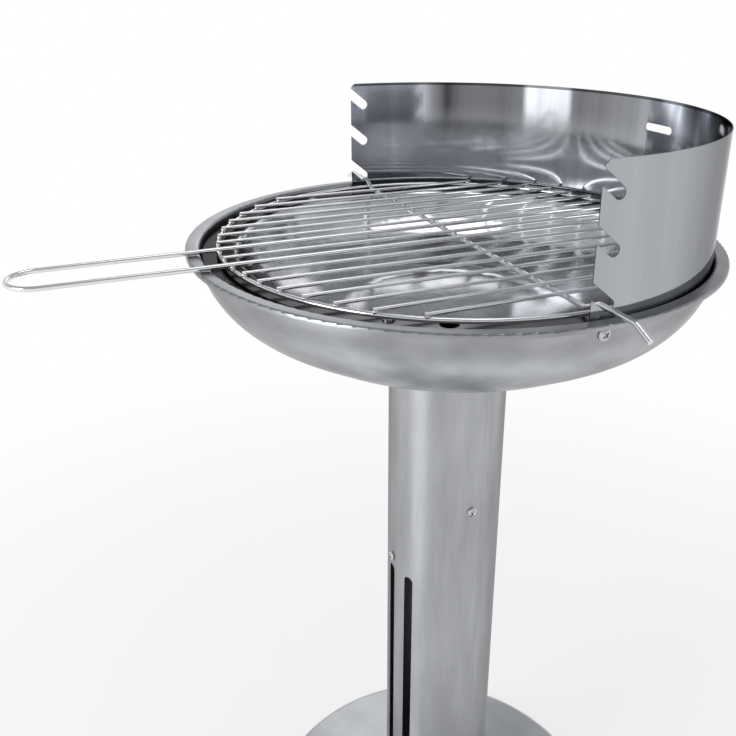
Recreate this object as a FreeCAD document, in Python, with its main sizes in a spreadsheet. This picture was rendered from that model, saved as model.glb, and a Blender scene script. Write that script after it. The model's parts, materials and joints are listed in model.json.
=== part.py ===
"""Charcoal barbecue on a column: foot, column, bowls, windshield and cooking grid.

The floor is z = 0 and the column stands on the Z axis. The grid's handle points to -Y and the
windshield closes the +Y side. Millimetres and degrees.
"""
import FreeCAD, Part

import math
import os
import re

import Sketcher
from FreeCAD import Placement, Rotation, Vector

# Driving dimensions, in millimetres, degrees and counts
SIZES = {
    # Outer bowl
    "rim_height": 720,
    "rim_radius": 225,
    "bowl_sheet": 0.8,
    "hem_depth": 3.5,
    "hem_bend": 1.5,
    "lip_width": 11.4,
    "lip_bend": 3,
    "collar_depth": 6.4,
    "shoulder_bend": 27.2,
    "shoulder_angle": 18,
    "wall_bend": 79.2,
    "wall_angle": 42,
    "wall_run": 26,
    "crease_bend": 9.2,
    "crease_angle": 14.4,
    "floor_bend": 19.2,
    "bowl_level_radius": 66.8,
    "bowl_hole": 36,
    # Fire bowl
    "fire_sheet": 0.8,
    "shelf_depth": 6.2,
    "shelf_width": 24.5,
    "shelf_bend": 6,
    "pan_angle": 65,
    "pan_bend": 70,
    "pan_floor_angle": 20,
    "pan_run": 40,
    "pan_floor_bend": 60,
    "lift_hole": 6.8,
    "lift_hole_inset": 17.5,
    "lift_hole_azimuth": -28,
    "bracket_azimuth": -40,
    "bracket_screw_inset": 18.5,
    "bracket_width": 12,
    "bracket_strip": 1.5,
    "bracket_inner_reach": 5.5,
    "bracket_outer_reach": 7,
    # Windshield
    "shield_sheet": 0.8,
    "shield_gap": 1,
    "shield_height": 103.5,
    "shield_skirt": 15.5,
    "shield_half_span": 93,
    "shield_corner": 4,
    "level_pitch": 37,
    "notch_width": 9.2,
    "notch_angle": 39.5,
    "notch_seat_height": 3.4,
    "notch_reach": 18.1,
    "nose_slot_width": 36,
    "nose_slot_height": 7,
    "nose_slot_rise": 0.6,
    "shield_screw_depth": 11.3,
    # Cooking grid
    "grid_wire": 4,
    "bar_wire": 3,
    "grid_play": 11.3,
    "bar_overhang": 2.5,
    "bar_pitch": 21,
    "side_bar_count": 7,
    "handle_overhang": 131,
    "nose_overhang": 1.6,
    "crank_inset": 9.8,
    "crank_angle": 25,
    "crank_bend": 6,
    "rod_shoulder": 31,
    "rod_tip_angle": 24,
    "rod_tip_bend": 8,
    "rod_tip_run": 15,
    # Column
    "column_radius": 54.5,
    "column_sheet": 0.8,
    "seam_azimuth": 11,
    "seam_overlap": 25,
    "seam_joggle": 4,
    "seam_bend": 3,
    "seam_joggle_angle": 30,
    "vent_width": 10,
    "vent_length": 260,
    "vent_top_drop": 331,
    "vent_azimuth_step": 27,
    "hoop_drop": 321,
    "hoop_height": 16,
    "hoop_sheet": 0.8,
    "seam_screw_drop": 250,
    "seam_screw_pitch": 300,
    # Flanges at both ends of the column
    "flange_sheet": 1.5,
    "flange_collar": 25,
    "flange_bend": 3,
    "flange_hole": 36,
    "flange_screw_circle": 43.5,
    "flange_screw_count": 4,
    # Foot
    "foot_radius": 195,
    "foot_sheet": 1,
    "foot_lift": 1.5,
    "foot_skirt": 10,
    "foot_bend": 8,
    "foot_angle": 6,
    "foot_run": 110,
    "foot_hub_bend": 20,
    "trim_wall": 1.5,
    "trim_height": 7,
    # Fasteners
    "screw_radius": 2.5,
    "head_radius": 4.6,
    "head_height": 2.9,
    "head_dome_share": 0.6,
    "screw_end": 1,
    "long_screw_end": 2,
    "nut_corner": 4.6,
    "nut_height": 3.2,
    "washer_radius": 6,
    "washer_height": 1,
    # Clearances
    "hole_clearance": 0.05,
    "thread_clearance": 0.02,
    "wire_gap": 0.05,
    "seat_gap": 0.3,
    "slip_gap": 0.05,
    "cut_past": 2,
}

document = FreeCAD.newDocument("barbecue")
sheet = document.addObject("Spreadsheet::Sheet", "Sizes")
for row, (name, number) in enumerate(SIZES.items(), start=1):
    sheet.set(f"A{row}", name)
    sheet.set(f"B{row}", str(number))
    sheet.setAlias(f"B{row}", name)
document.recompute()

SUB_PARTS = []


# Formulas

def linked(formula):
    """Point each size name in a formula at its cell."""
    return re.sub(r"[a-z][a-z_]+", lambda word: cell(word.group()), str(formula))


def cell(word):
    return "Sizes." + word if word in SIZES else word


def value(formula):
    """Work a formula out as a number."""
    return float(sheet.evalExpression(linked(formula)))


def bind(thing, **formulas):
    """Bind properties of an object to formulas."""
    for name, formula in formulas.items():
        thing.setExpression(name, linked(formula))


def place(thing, x, y, z, rotation=None):
    """Put an object at a point given by formulas, turned by a fixed rotation."""
    point = Vector(value(x), value(y), value(z))
    thing.Placement = Placement(point, rotation or Rotation())
    for axis, formula in zip("xyz", (x, y, z)):
        thing.setExpression(f"Placement.Base.{axis}", linked(formula))
    return thing


def outward(azimuth):
    """Turn an object's +Z to the horizontal direction at an azimuth."""
    return Rotation(Vector(0, 0, 1), azimuth) * Rotation(Vector(0, 1, 0), 90)


# Outlines

class Walk:
    """A walk of tangent runs and bends, with each point kept as a pair of formulas."""

    def __init__(self, x, y, heading):
        self.points = [(str(x), str(y))]
        self.headings = [str(heading)]
        self.bends = []

    def step(self, dx, dy, turn, bend):
        x, y = self.points[-1]
        self.points.append((f"{x} + {dx}", f"{y} + {dy}"))
        heading = self.headings[-1]
        self.headings.append(f"{heading} + {turn}" if turn else heading)
        self.bends.append(bend)
        return self

    def line(self, length):
        heading = self.headings[-1]
        return self.step(f"({length}) * cos({heading})", f"({length}) * sin({heading})", None, None)

    def line_to_x(self, x):
        """Run level to a given x."""
        return self.corner(x, self.points[-1][1])

    def slope_to_x(self, x):
        """Run on along the heading to a given x."""
        start_x, start_y = self.points[-1]
        return self.corner(x, f"{start_y} + ({x} - ({start_x})) * tan({self.headings[-1]})")

    def corner(self, x, y):
        """Run on to a point that lies along the heading."""
        self.points.append((str(x), y))
        self.headings.append(self.headings[-1])
        self.bends.append(None)
        return self

    def left(self, radius, angle):
        return self.arc(radius, angle, 1)

    def right(self, radius, angle):
        return self.arc(radius, angle, -1)

    def arc(self, radius, angle, side):
        start = self.headings[-1]
        turn = f"({side}) * ({angle})"
        end = f"{start} + {turn}"
        dx = f"({side}) * ({radius}) * (sin({end}) - sin({start}))"
        dy = f"({side}) * ({radius}) * (cos({start}) - cos({end}))"
        return self.step(dx, dy, turn, (str(radius), side))

    def strip(self, thickness, side=1):
        """Close the walk into a strip, as thick as given on its left (1) or right (-1)."""
        near = list(zip(self.points, self.bends + [None]))
        far = []
        for (x, y), heading in zip(self.points, self.headings):
            shift = f"({side}) * ({thickness})"
            far.append((f"{x} - {shift} * sin({heading})", f"{y} + {shift} * cos({heading})"))
        back = []
        for bend in self.bends:
            if bend:
                radius, turn = bend
                bend = (f"{radius} - ({side * turn}) * ({thickness})", -turn)
            back.append(bend)
        return near + list(zip(reversed(far), list(reversed(back)) + [None]))

    def loop(self):
        """Close the walk with a straight edge from its last point to its first."""
        return list(zip(self.points, self.bends + [None]))

    def ring(self):
        """Close a walk whose last point is its first."""
        return list(zip(self.points[:-1], self.bends))


def arc_between(start, end, radius, side):
    """The arc under half a turn from start to end, bending left (1) or right (-1)."""
    chord = end - start
    middle = (start + end) * 0.5
    rise = math.sqrt(max(radius ** 2 - (chord.Length / 2) ** 2, 0))
    normal = Vector(-chord.y, chord.x, 0).normalize()
    centre = middle + normal * (side * rise)
    circle = Part.Circle(centre, Vector(0, 0, 1), radius)
    first, last = (start, end) if side > 0 else (end, start)
    angles = [math.atan2(point.y - centre.y, point.x - centre.x) for point in (first, last)]
    return Part.ArcOfCircle(circle, angles[0], angles[1])


def draw(sketch, outline, closed=True):
    """Draw an outline of lines and arcs, every point and radius bound to its formula."""
    numbers = [Vector(value(x), value(y), 0) for (x, y), _ in outline]
    first = sketch.GeometryCount
    edges = len(outline) if closed else len(outline) - 1
    starts, ends = [], []
    for index in range(edges):
        start = numbers[index]
        end = numbers[(index + 1) % len(numbers)]
        bend = outline[index][1]
        if bend:
            sketch.addGeometry(arc_between(start, end, value(bend[0]), bend[1]), False)
        else:
            sketch.addGeometry(Part.LineSegment(start, end), False)
        leftward = not bend or bend[1] > 0
        starts.append((first + index, 1 if leftward else 2))
        ends.append((first + index, 2 if leftward else 1))
    for index in range(edges if closed else edges - 1):
        following = (index + 1) % edges
        sketch.addConstraint(Sketcher.Constraint("Coincident", *ends[index], *starts[following]))
    anchors = starts if closed else starts + ends[-1:]
    for anchor, number, ((x, y), _) in zip(anchors, numbers, outline):
        fix_point(sketch, anchor, "DistanceX", number.x, x, -2)
        fix_point(sketch, anchor, "DistanceY", number.y, y, -1)
    for index in range(edges):
        bend = outline[index][1]
        if bend:
            radius = Sketcher.Constraint("Radius", first + index, value(bend[0]))
            sketch.setExpression(f"Constraints[{sketch.addConstraint(radius)}]", linked(bend[0]))


def fix_point(sketch, anchor, kind, number, formula, axis):
    """Hold one coordinate of a point by its formula, or on the axis where it is zero."""
    if abs(number) < 1e-9:
        sketch.addConstraint(Sketcher.Constraint("PointOnObject", *anchor, axis))
        return
    index = sketch.addConstraint(Sketcher.Constraint(kind, -1, 1, *anchor, number))
    sketch.setExpression(f"Constraints[{index}]", linked(formula))


def origin_feature(body, role):
    return next(item for item in body.Origin.OriginFeatures if item.Role == role)


def sketch_on(body, plane, outlines, closed=True):
    """A sketch of outlines on one of the body's own origin planes."""
    sketch = body.newObject("Sketcher::SketchObject", body.Label + "_sketch")
    sketch.AttachmentSupport = [(origin_feature(body, plane), "")]
    sketch.MapMode = "FlatFace"
    for outline in outlines:
        draw(sketch, outline, closed)
    return sketch


def circle_sketch(body, plane, circles):
    """A sketch of circles, each given as formulas for x, y and radius."""
    sketch = body.newObject("Sketcher::SketchObject", body.Label + "_circles")
    sketch.AttachmentSupport = [(origin_feature(body, plane), "")]
    sketch.MapMode = "FlatFace"
    for x, y, radius in circles:
        centre = Vector(value(x), value(y), 0)
        circle = Part.Circle(centre, Vector(0, 0, 1), value(radius))
        index = sketch.addGeometry(circle, False)
        fix_point(sketch, (index, 3), "DistanceX", centre.x, x, -2)
        fix_point(sketch, (index, 3), "DistanceY", centre.y, y, -1)
        size = sketch.addConstraint(Sketcher.Constraint("Radius", index, value(radius)))
        sketch.setExpression(f"Constraints[{size}]", linked(radius))
    return sketch


# Features

def new_body(label):
    body = document.addObject("PartDesign::Body", label)
    body.Label = label
    return body


def keep(thing, label):
    """Name an object as a finished sub-part."""
    thing.Label = label
    SUB_PARTS.append((label, thing))
    return thing


def spun(label, outline):
    """A body turned about Z from an outline of x against z."""
    body = new_body(label)
    sketch = sketch_on(body, "XZ_Plane", [outline])
    turn = body.newObject("PartDesign::Revolution", label + "_turned")
    turn.Profile = sketch
    turn.ReferenceAxis = (sketch, ["V_Axis"])
    turn.Angle = 360
    sketch.Visibility = False
    return body


def padded(label, outline, length, low):
    """A body of one upright outline of x against y, from z = low upwards."""
    body = new_body(label)
    sketch = sketch_on(body, "XY_Plane", [outline])
    pad = body.newObject("PartDesign::Pad", label + "_pad")
    pad.Profile = sketch
    bind(pad, Length=length)
    place(body, 0, 0, low)
    return body


def pocket_through(body, sketch):
    """Cut a sketch right through a body on both sides of its plane."""
    pocket = body.newObject("PartDesign::Pocket", body.Label + "_pocket")
    pocket.Profile = sketch
    pocket.Type = 1
    pocket.Midplane = True
    return pocket


def piped(label, walk, plane, diameter, section_plane, section):
    """A round wire along a walk; the section circle's centre is given on its own plane."""
    body = new_body(label)
    path = sketch_on(body, plane, [walk.loop()], closed=False)
    ring = circle_sketch(body, section_plane, [(section[0], section[1], f"{diameter} / 2")])
    pipe = body.newObject("PartDesign::AdditivePipe", label + "_pipe")
    pipe.Profile = ring
    pipe.Spine = (path, [])
    return body


def rod(name, x, y, z, radius, length, rotation):
    """A plain cylinder from a point, along its turned +Z."""
    cylinder = document.addObject("Part::Cylinder", name)
    bind(cylinder, Radius=radius, Height=length)
    return place(cylinder, x, y, z, rotation)


def grouped(label, members):
    """Separate equal solids kept as one sub-part."""
    group = document.addObject("Part::Compound", label)
    group.Links = members
    return keep(group, label)


def drilled(label, base, cutters):
    """A solid with cutters taken out of it."""
    tool = cutters[0]
    if len(cutters) > 1:
        tool = document.addObject("Part::MultiFuse", label + "_cutters")
        tool.Shapes = cutters
    cut = document.addObject("Part::Cut", label + "_cut")
    cut.Base = base
    cut.Tool = tool
    return keep(cut, label)


# Heights and radii that several pieces share

LIP_INNER = "(rim_radius - lip_width)"
WALL_INNER = LIP_INNER
SHIELD_RADIUS = f"({WALL_INNER} - shield_gap)"
SHELF_Z = "(rim_height - shelf_depth)"
SHELF_RADIUS = f"({SHIELD_RADIUS} - shield_sheet - seat_gap)"
SCREW_HOLE = "(screw_radius + hole_clearance)"
NUT_HOLE = "(screw_radius + thread_clearance)"
BRACKET_CIRCLE = f"({SHELF_RADIUS} - bracket_screw_inset)"
LIFT_CIRCLE = f"({SHELF_RADIUS} - lift_hole_inset)"
GRID_RADIUS = f"({SHIELD_RADIUS} - shield_sheet - grid_play - grid_wire / 2)"
BAR_TIP_RADIUS = f"({GRID_RADIUS} + bar_overhang)"
UPPER_LAYER = "(rim_height + seat_gap)"
LOWER_LAYER_Z = f"({UPPER_LAYER} - wire_gap - grid_wire / 2)"
BAR_Z = f"({UPPER_LAYER} + bar_wire / 2)"
LEG_Z = f"({UPPER_LAYER} + grid_wire / 2)"
NOTCH_END_Z = "(rim_height + notch_seat_height + notch_width / 2)"
ROD_SHOULDER_Z = "(rim_height + notch_seat_height + seat_gap + grid_wire / 2)"
NOTCH_END_Y = (f"({SHIELD_RADIUS} * sin(90 - shield_half_span)"
               " + notch_reach - notch_width / 2)")
NOSE_SLOT_Z = f"({LEG_Z} + nose_slot_rise)"
VENT_TOP = "(rim_height - vent_top_drop)"


def bowl_walk():
    """The bowl's section along its upper face, from the hem over the lip and down to the hole."""
    walk = Walk("rim_radius", "rim_height - hem_depth", 90)
    walk.line("hem_depth - hem_bend").left("hem_bend", 90)
    walk.line("lip_width - hem_bend - lip_bend").left("lip_bend", 90)
    walk.line("collar_depth")
    walk.right("shoulder_bend", "shoulder_angle").right("wall_bend", "wall_angle")
    walk.line("wall_run").right("crease_bend", "crease_angle")
    slope = "(90 - shoulder_angle - wall_angle - crease_angle)"
    walk.slope_to_x(f"(bowl_level_radius + floor_bend * sin({slope}))").right("floor_bend", slope)
    return walk.line_to_x("bowl_hole")


def pan_walk():
    """The fire bowl's section along its upper face, from the shelf's edge to the middle."""
    walk = Walk(SHELF_RADIUS, SHELF_Z, 180)
    walk.line("shelf_width").left("shelf_bend", "pan_angle")
    walk.right("pan_bend", "pan_angle - pan_floor_angle")
    walk.line("pan_run").right("pan_floor_bend", "pan_floor_angle")
    return walk.line_to_x(0)


def foot_walk():
    """The foot's section along its upper face, from the skirt's edge to the middle."""
    walk = Walk("foot_radius", "foot_lift", 90)
    walk.line("foot_skirt").left("foot_bend", "90 - foot_angle").line("foot_run")
    walk.left("foot_hub_bend", "foot_angle")
    return walk.line_to_x(0)


BOWL_FLOOR = "(" + bowl_walk().points[-1][1] + ")"
BOWL_UNDERSIDE = f"({BOWL_FLOOR} - bowl_sheet)"
PAN_FLOOR = "(" + pan_walk().points[-1][1] + ")"
FOOT_TOP = "(" + foot_walk().points[-1][1] + ")"
COLUMN_INNER = "(column_radius - column_sheet)"
COLLAR_RADIUS = f"({COLUMN_INNER} - slip_gap)"


# Fasteners

def screw_section(name, length):
    """Half a pan head screw: a short rim and a domed crown on z = 0, the shank below."""
    dome = "(head_height * head_dome_share)"
    edge = f"(head_height - {dome})"
    crown = f"((head_radius ^ 2 + {dome} ^ 2) / (2 * {dome}))"
    outline = [
        (("0", f"-({length})"), None),
        (("screw_radius", f"-({length})"), None),
        (("screw_radius", "0"), None),
        (("head_radius", "0"), None),
        (("head_radius", edge), (crown, 1)),
        (("0", "head_height"), None),
    ]
    sketch = document.addObject("Sketcher::SketchObject", name + "_section")
    sketch.Placement = Placement(Vector(0, 0, 0), Rotation(Vector(1, 0, 0), 90))
    draw(sketch, outline)
    return sketch


def screws(label, length, places):
    """Equal screws, each placed by formulas for its head's seat and a rotation."""
    section = screw_section(label, length)
    members = []
    for index, (x, y, z, rotation) in enumerate(places, start=1):
        turned = document.addObject("Part::Revolution", f"{label}_{index}")
        turned.Source = section
        turned.Axis = Vector(0, 0, 1)
        turned.Angle = 360
        turned.Solid = True
        members.append(place(turned, x, y, z, rotation))
    return grouped(label, members)


def nuts(label, places):
    """Equal hexagon nuts, each standing on its seat and pointing along its turned +Z."""
    members = []
    for index, (x, y, z, rotation) in enumerate(places, start=1):
        block = document.addObject("Part::Prism", f"{label}_block_{index}")
        block.Polygon = 6
        bind(block, Circumradius="nut_corner", Height="nut_height")
        bore = document.addObject("Part::Cylinder", f"{label}_bore_{index}")
        bind(bore, Radius=NUT_HOLE, Height="nut_height")
        nut = document.addObject("Part::Cut", f"{label}_{index}")
        nut.Base = block
        nut.Tool = bore
        members.append(place(nut, x, y, z, rotation))
    return grouped(label, members)


def washers(label, places):
    """Equal flat washers, each standing on its seat."""
    members = []
    for index, (x, y, z, rotation) in enumerate(places, start=1):
        disc = document.addObject("Part::Cylinder", f"{label}_disc_{index}")
        bind(disc, Radius="washer_radius", Height="washer_height")
        bore = document.addObject("Part::Cylinder", f"{label}_bore_{index}")
        bind(bore, Radius=SCREW_HOLE, Height="washer_height")
        washer = document.addObject("Part::Cut", f"{label}_{index}")
        washer.Base = disc
        washer.Tool = bore
        members.append(place(washer, x, y, z, rotation))
    return grouped(label, members)


CORNERS_LEVEL = Rotation(Vector(0, 0, 1), 30)


def radial_places(azimuths, radius, z, inward=False):
    """Places on a cylinder, pointing out of it or into it."""
    places = []
    for azimuth in azimuths:
        x = f"{radius} * cos({azimuth})"
        y = f"{radius} * sin({azimuth})"
        turn = outward(value(azimuth) + (180 if inward else 0)) * CORNERS_LEVEL
        places.append((x, y, z, turn))
    return places


def circle_azimuths(count, first):
    """Evenly spaced azimuths as formulas."""
    return [f"{first} + {index} * 360 / {count}" for index in range(int(value(count)))]


UP = Rotation()
DOWN = Rotation(Vector(1, 0, 0), 180)


def level_places(azimuths, radius, z, rotation):
    """Places on a level circle, all turned alike."""
    return [(f"{radius} * cos({a})", f"{radius} * sin({a})", z, rotation) for a in azimuths]


def radial_holes(label, azimuths, reach, z):
    """Cutters for screw holes through a wall, from the axis outwards."""
    return [rod(f"{label}_hole_{index}", 0, 0, z, SCREW_HOLE, reach, outward(value(azimuth)))
            for index, azimuth in enumerate(azimuths, start=1)]


def level_holes(label, azimuths, circle, low, height, radius=SCREW_HOLE):
    """Upright cutters on a circle."""
    places = level_places(azimuths, circle, low, UP)
    return [rod(f"{label}_hole_{index}", x, y, z, radius, height, turn)
            for index, (x, y, z, turn) in enumerate(places, start=1)]


# Azimuths of the fasteners

FLANGE_AZIMUTHS = circle_azimuths("flange_screw_count", 45)
BRACKET_AZIMUTHS = circle_azimuths(3, "bracket_azimuth")
LIFT_AZIMUTHS = circle_azimuths(3, "lift_hole_azimuth")
SHIELD_AZIMUTHS = ["0", "90", "180"]
HOOP_AZIMUTHS = ["-90", "90"]
SEAM_AZIMUTHS = ["0"]


# Foot

def make_foot_dish():
    """A spun dish, open below, with a level middle for the column."""
    base = spun("foot_dish_blank", foot_walk().strip("foot_sheet"))
    low = f"{FOOT_TOP} - foot_sheet * 2"
    holes = level_holes("foot_dish", FLANGE_AZIMUTHS, "flange_screw_circle", low, "foot_sheet * 3")
    drilled("foot_dish", base, holes)


def make_foot_trim():
    """A rubber ring of U section over the skirt's edge, flat on the floor."""
    inner = "foot_radius - foot_sheet - slip_gap"
    outer = "foot_radius + slip_gap"
    outline = [
        ((f"{inner} - trim_wall", "0"), None),
        ((f"{outer} + trim_wall", "0"), None),
        ((f"{outer} + trim_wall", "trim_height"), None),
        ((outer, "trim_height"), None),
        ((outer, "foot_lift"), None),
        ((inner, "foot_lift"), None),
        ((inner, "trim_height"), None),
        ((f"{inner} - trim_wall", "trim_height"), None),
    ]
    keep(spun("foot_trim_ring", outline), "foot_trim_ring")


def make_base_flange():
    """A ring standing in the column's foot, its collar up and its floor on the dish."""
    walk = Walk(COLLAR_RADIUS, f"{FOOT_TOP} + flange_collar", -90)
    walk.line("flange_collar - flange_bend").right("flange_bend", 90).line_to_x("flange_hole")
    base = spun("base_flange_blank", walk.strip("flange_sheet", -1))
    holes = level_holes("base_flange", FLANGE_AZIMUTHS, "flange_screw_circle",
                        f"{FOOT_TOP} - flange_sheet", "flange_sheet * 3")
    drilled("base_flange", base, holes)


def make_base_fasteners():
    """Screws up through the dish and the flange, nuts inside the column."""
    under = f"{FOOT_TOP} - foot_sheet"
    seats = level_places(FLANGE_AZIMUTHS, "flange_screw_circle", under, DOWN)
    screws("base_screws", "foot_sheet + flange_sheet + nut_height + screw_end", seats)
    tops = level_places(FLANGE_AZIMUTHS, "flange_screw_circle", f"{FOOT_TOP} + flange_sheet", UP)
    nuts("base_nuts", tops)


# Column

def column_outline():
    """One rolled sheet whose outer edge laps over its inner edge at the seam."""
    joggle = "seam_joggle_angle"
    advance = f"(2 * seam_bend * sin({joggle}) / column_radius * 180 / pi)"
    start = "(seam_azimuth - seam_overlap + seam_joggle)"
    round_turn = f"((360 + seam_azimuth - seam_overlap - {start}) / 3)"
    lift = (f"(2 * seam_bend * (1 - cos({joggle}))"
            f" + (2 * seam_bend * sin({joggle})) ^ 2 / (2 * column_radius))")
    walk = Walk(f"column_radius * cos({start})", f"column_radius * sin({start})", f"90 + {start}")
    for _ in range(3):
        walk.left("column_radius", round_turn)
    walk.right("seam_bend", joggle).left("seam_bend", f"{joggle} + {advance}")
    walk.left(f"(column_radius + {lift})", f"seam_overlap - {advance}")
    return walk.strip("column_sheet")


def vent_cutter(index, azimuth):
    """A long upright slot with round ends, cut from the axis out through one side."""
    body = new_body(f"vent_{index}")
    half = "vent_width / 2"
    walk = Walk(half, f"{VENT_TOP} - vent_length + {half}", 90)
    walk.line("vent_length - vent_width").left(half, 90).left(half, 90)
    walk.line("vent_length - vent_width").left(half, 90).left(half, 90)
    sketch = sketch_on(body, "YZ_Plane", [walk.ring()])
    pad = body.newObject("PartDesign::Pad", body.Label + "_pad")
    pad.Profile = sketch
    bind(pad, Length="column_radius * 1.5")
    body.Placement = Placement(Vector(0, 0, 0), Rotation(Vector(0, 0, 1), value(azimuth)))
    return body


def make_column_tube():
    """The rolled tube with three vents at the front and its screw holes."""
    height = f"{BOWL_UNDERSIDE} - {FOOT_TOP}"
    tube = padded("column_blank", column_outline(), height, FOOT_TOP)
    cutters = []
    for index, step in enumerate((-1, 0, 1), start=1):
        cutters.append(vent_cutter(index, f"-90 + ({step}) * vent_azimuth_step"))
    reach = "column_radius * 1.5"
    cutters += radial_holes("hoop", HOOP_AZIMUTHS, reach, "rim_height - hoop_drop")
    cutters += radial_holes("seam_upper", SEAM_AZIMUTHS, reach, SEAM_SCREW_HEIGHTS[0])
    cutters += radial_holes("seam_lower", SEAM_AZIMUTHS, reach, SEAM_SCREW_HEIGHTS[1])
    drilled("column_tube", tube, cutters)


SEAM_SCREW_HEIGHTS = [
    "(rim_height - seam_screw_drop)",
    "(rim_height - seam_screw_drop - seam_screw_pitch)",
]
SEAM_LIFT = "(column_sheet + hole_clearance * 2)"
NUT_SEAT_COLUMN = f"(sqrt({COLUMN_INNER} ^ 2 - nut_corner ^ 2) - slip_gap)"


def make_seam_fasteners():
    """Two screws that pull the lapped edges together, with nuts inside."""
    seats, backs = [], []
    for height in SEAM_SCREW_HEIGHTS:
        seats += radial_places(SEAM_AZIMUTHS, f"(column_radius + {SEAM_LIFT})", height)
        backs += radial_places(SEAM_AZIMUTHS, NUT_SEAT_COLUMN, height, inward=True)
    screws("seam_screws", "column_sheet * 2 + nut_height + long_screw_end", seats)
    nuts("seam_nuts", backs)


def make_column_hoop():
    """A band inside the tube, just above the vents, that keeps it round."""
    low = "rim_height - hoop_drop - hoop_height / 2"
    outer = COLLAR_RADIUS
    outline = [
        ((f"{outer} - hoop_sheet", low), None),
        ((outer, low), None),
        ((outer, f"{low} + hoop_height"), None),
        ((f"{outer} - hoop_sheet", f"{low} + hoop_height"), None),
    ]
    base = spun("column_hoop_blank", outline)
    holes = radial_holes("column_hoop", HOOP_AZIMUTHS, "column_radius * 1.5",
                         "rim_height - hoop_drop")
    drilled("column_hoop", base, holes)


def make_hoop_fasteners():
    """One screw at the front and one at the back, with nuts inside."""
    height = "rim_height - hoop_drop"
    inner = f"({COLLAR_RADIUS} - hoop_sheet)"
    seats = radial_places(HOOP_AZIMUTHS, "(column_radius + slip_gap)", height)
    screws("hoop_screws", "column_sheet + hoop_sheet + nut_height + long_screw_end", seats)
    seat = f"(sqrt({inner} ^ 2 - nut_corner ^ 2) - slip_gap)"
    nuts("hoop_nuts", radial_places(HOOP_AZIMUTHS, seat, height, inward=True))


def make_top_flange():
    """A ring in the column's head, its collar down and its floor under the bowl."""
    walk = Walk(COLLAR_RADIUS, f"{BOWL_UNDERSIDE} - flange_collar", 90)
    walk.line("flange_collar - flange_bend").left("flange_bend", 90).line_to_x("flange_hole")
    base = spun("top_flange_blank", walk.strip("flange_sheet"))
    holes = level_holes("top_flange", FLANGE_AZIMUTHS, "flange_screw_circle",
                        f"{BOWL_UNDERSIDE} - flange_sheet * 2", "flange_sheet * 3")
    drilled("top_flange", base, holes)


def make_bowl_fasteners():
    """Screws down through washer, bowl and flange, with nuts below."""
    circle = "flange_screw_circle"
    washers("bowl_washers", level_places(FLANGE_AZIMUTHS, circle, BOWL_FLOOR, UP))
    seats = level_places(FLANGE_AZIMUTHS, circle, f"{BOWL_FLOOR} + washer_height", UP)
    length = "washer_height + bowl_sheet + flange_sheet + nut_height + long_screw_end"
    screws("bowl_screws", length, seats)
    under = f"{BOWL_UNDERSIDE} - flange_sheet"
    nuts("bowl_nuts", level_places(FLANGE_AZIMUTHS, circle, under, DOWN))


# Bowls

def make_outer_bowl():
    """The spun bowl: turned down hem, level lip, round side, crease and level floor."""
    base = spun("outer_bowl_blank", bowl_walk().strip("bowl_sheet"))
    cutters = level_holes("outer_bowl", FLANGE_AZIMUTHS, "flange_screw_circle",
                          f"{BOWL_UNDERSIDE} - bowl_sheet", "bowl_sheet * 4")
    cutters += radial_holes("shield_screw", SHIELD_AZIMUTHS, "rim_radius",
                            "rim_height - shield_screw_depth")
    drilled("outer_bowl", base, cutters)


def make_fire_bowl():
    """The inner bowl that holds the fire, hung by its shelf, which has round air holes."""
    base = spun("fire_bowl_blank", pan_walk().strip("fire_sheet"))
    low = f"{SHELF_Z} - fire_sheet * 3"
    cutters = level_holes("bracket", BRACKET_AZIMUTHS, BRACKET_CIRCLE, low, "fire_sheet * 6")
    cutters += level_holes("lift", LIFT_AZIMUTHS, LIFT_CIRCLE, low, "fire_sheet * 6", "lift_hole")
    drilled("fire_bowl", base, cutters)


def wall_height(radius):
    """The height of the outer bowl's inside at a radius on its wall."""
    centre = f"({WALL_INNER} - shoulder_bend * (1 - cos(shoulder_angle))"
    centre += " - wall_bend * cos(shoulder_angle))"
    middle = "(rim_height - lip_bend - collar_depth - shoulder_bend * sin(shoulder_angle)"
    middle += " + wall_bend * sin(shoulder_angle))"
    return f"({middle} - sqrt(wall_bend ^ 2 - ({radius} - {centre}) ^ 2))"


def make_fire_bowl_brackets():
    """Three bent strips under the shelf that stand on the outer bowl's wall."""
    top = f"({SHELF_Z} - fire_sheet)"
    inner = f"{BRACKET_CIRCLE} - bracket_inner_reach"
    outer = f"({BRACKET_CIRCLE} + bracket_outer_reach)"
    foot = f"({wall_height(f'sqrt({outer} ^ 2 + (bracket_width / 2) ^ 2)')} + seat_gap)"
    members = []
    for index, azimuth in enumerate(BRACKET_AZIMUTHS, start=1):
        outline = [
            ((inner, top), None),
            ((inner, f"{top} - bracket_strip"), None),
            ((f"{outer} - bracket_strip", f"{top} - bracket_strip"), None),
            ((f"{outer} - bracket_strip", foot), None),
            ((outer, foot), None),
            ((outer, top), None),
        ]
        body = new_body(f"bracket_blank_{index}")
        sketch = sketch_on(body, "XZ_Plane", [outline])
        pad = body.newObject("PartDesign::Pad", f"bracket_pad_{index}")
        pad.Profile = sketch
        pad.Midplane = True
        bind(pad, Length="bracket_width")
        hole = rod(f"bracket_bore_{index}", BRACKET_CIRCLE, 0, f"{top} - bracket_strip * 2",
                   SCREW_HOLE, "bracket_strip * 3", UP)
        bracket = document.addObject("Part::Cut", f"fire_bowl_bracket_{index}")
        bracket.Base = body
        bracket.Tool = hole
        bracket.Placement = Placement(Vector(), Rotation(Vector(0, 0, 1), value(azimuth)))
        members.append(bracket)
    grouped("fire_bowl_brackets", members)


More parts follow.
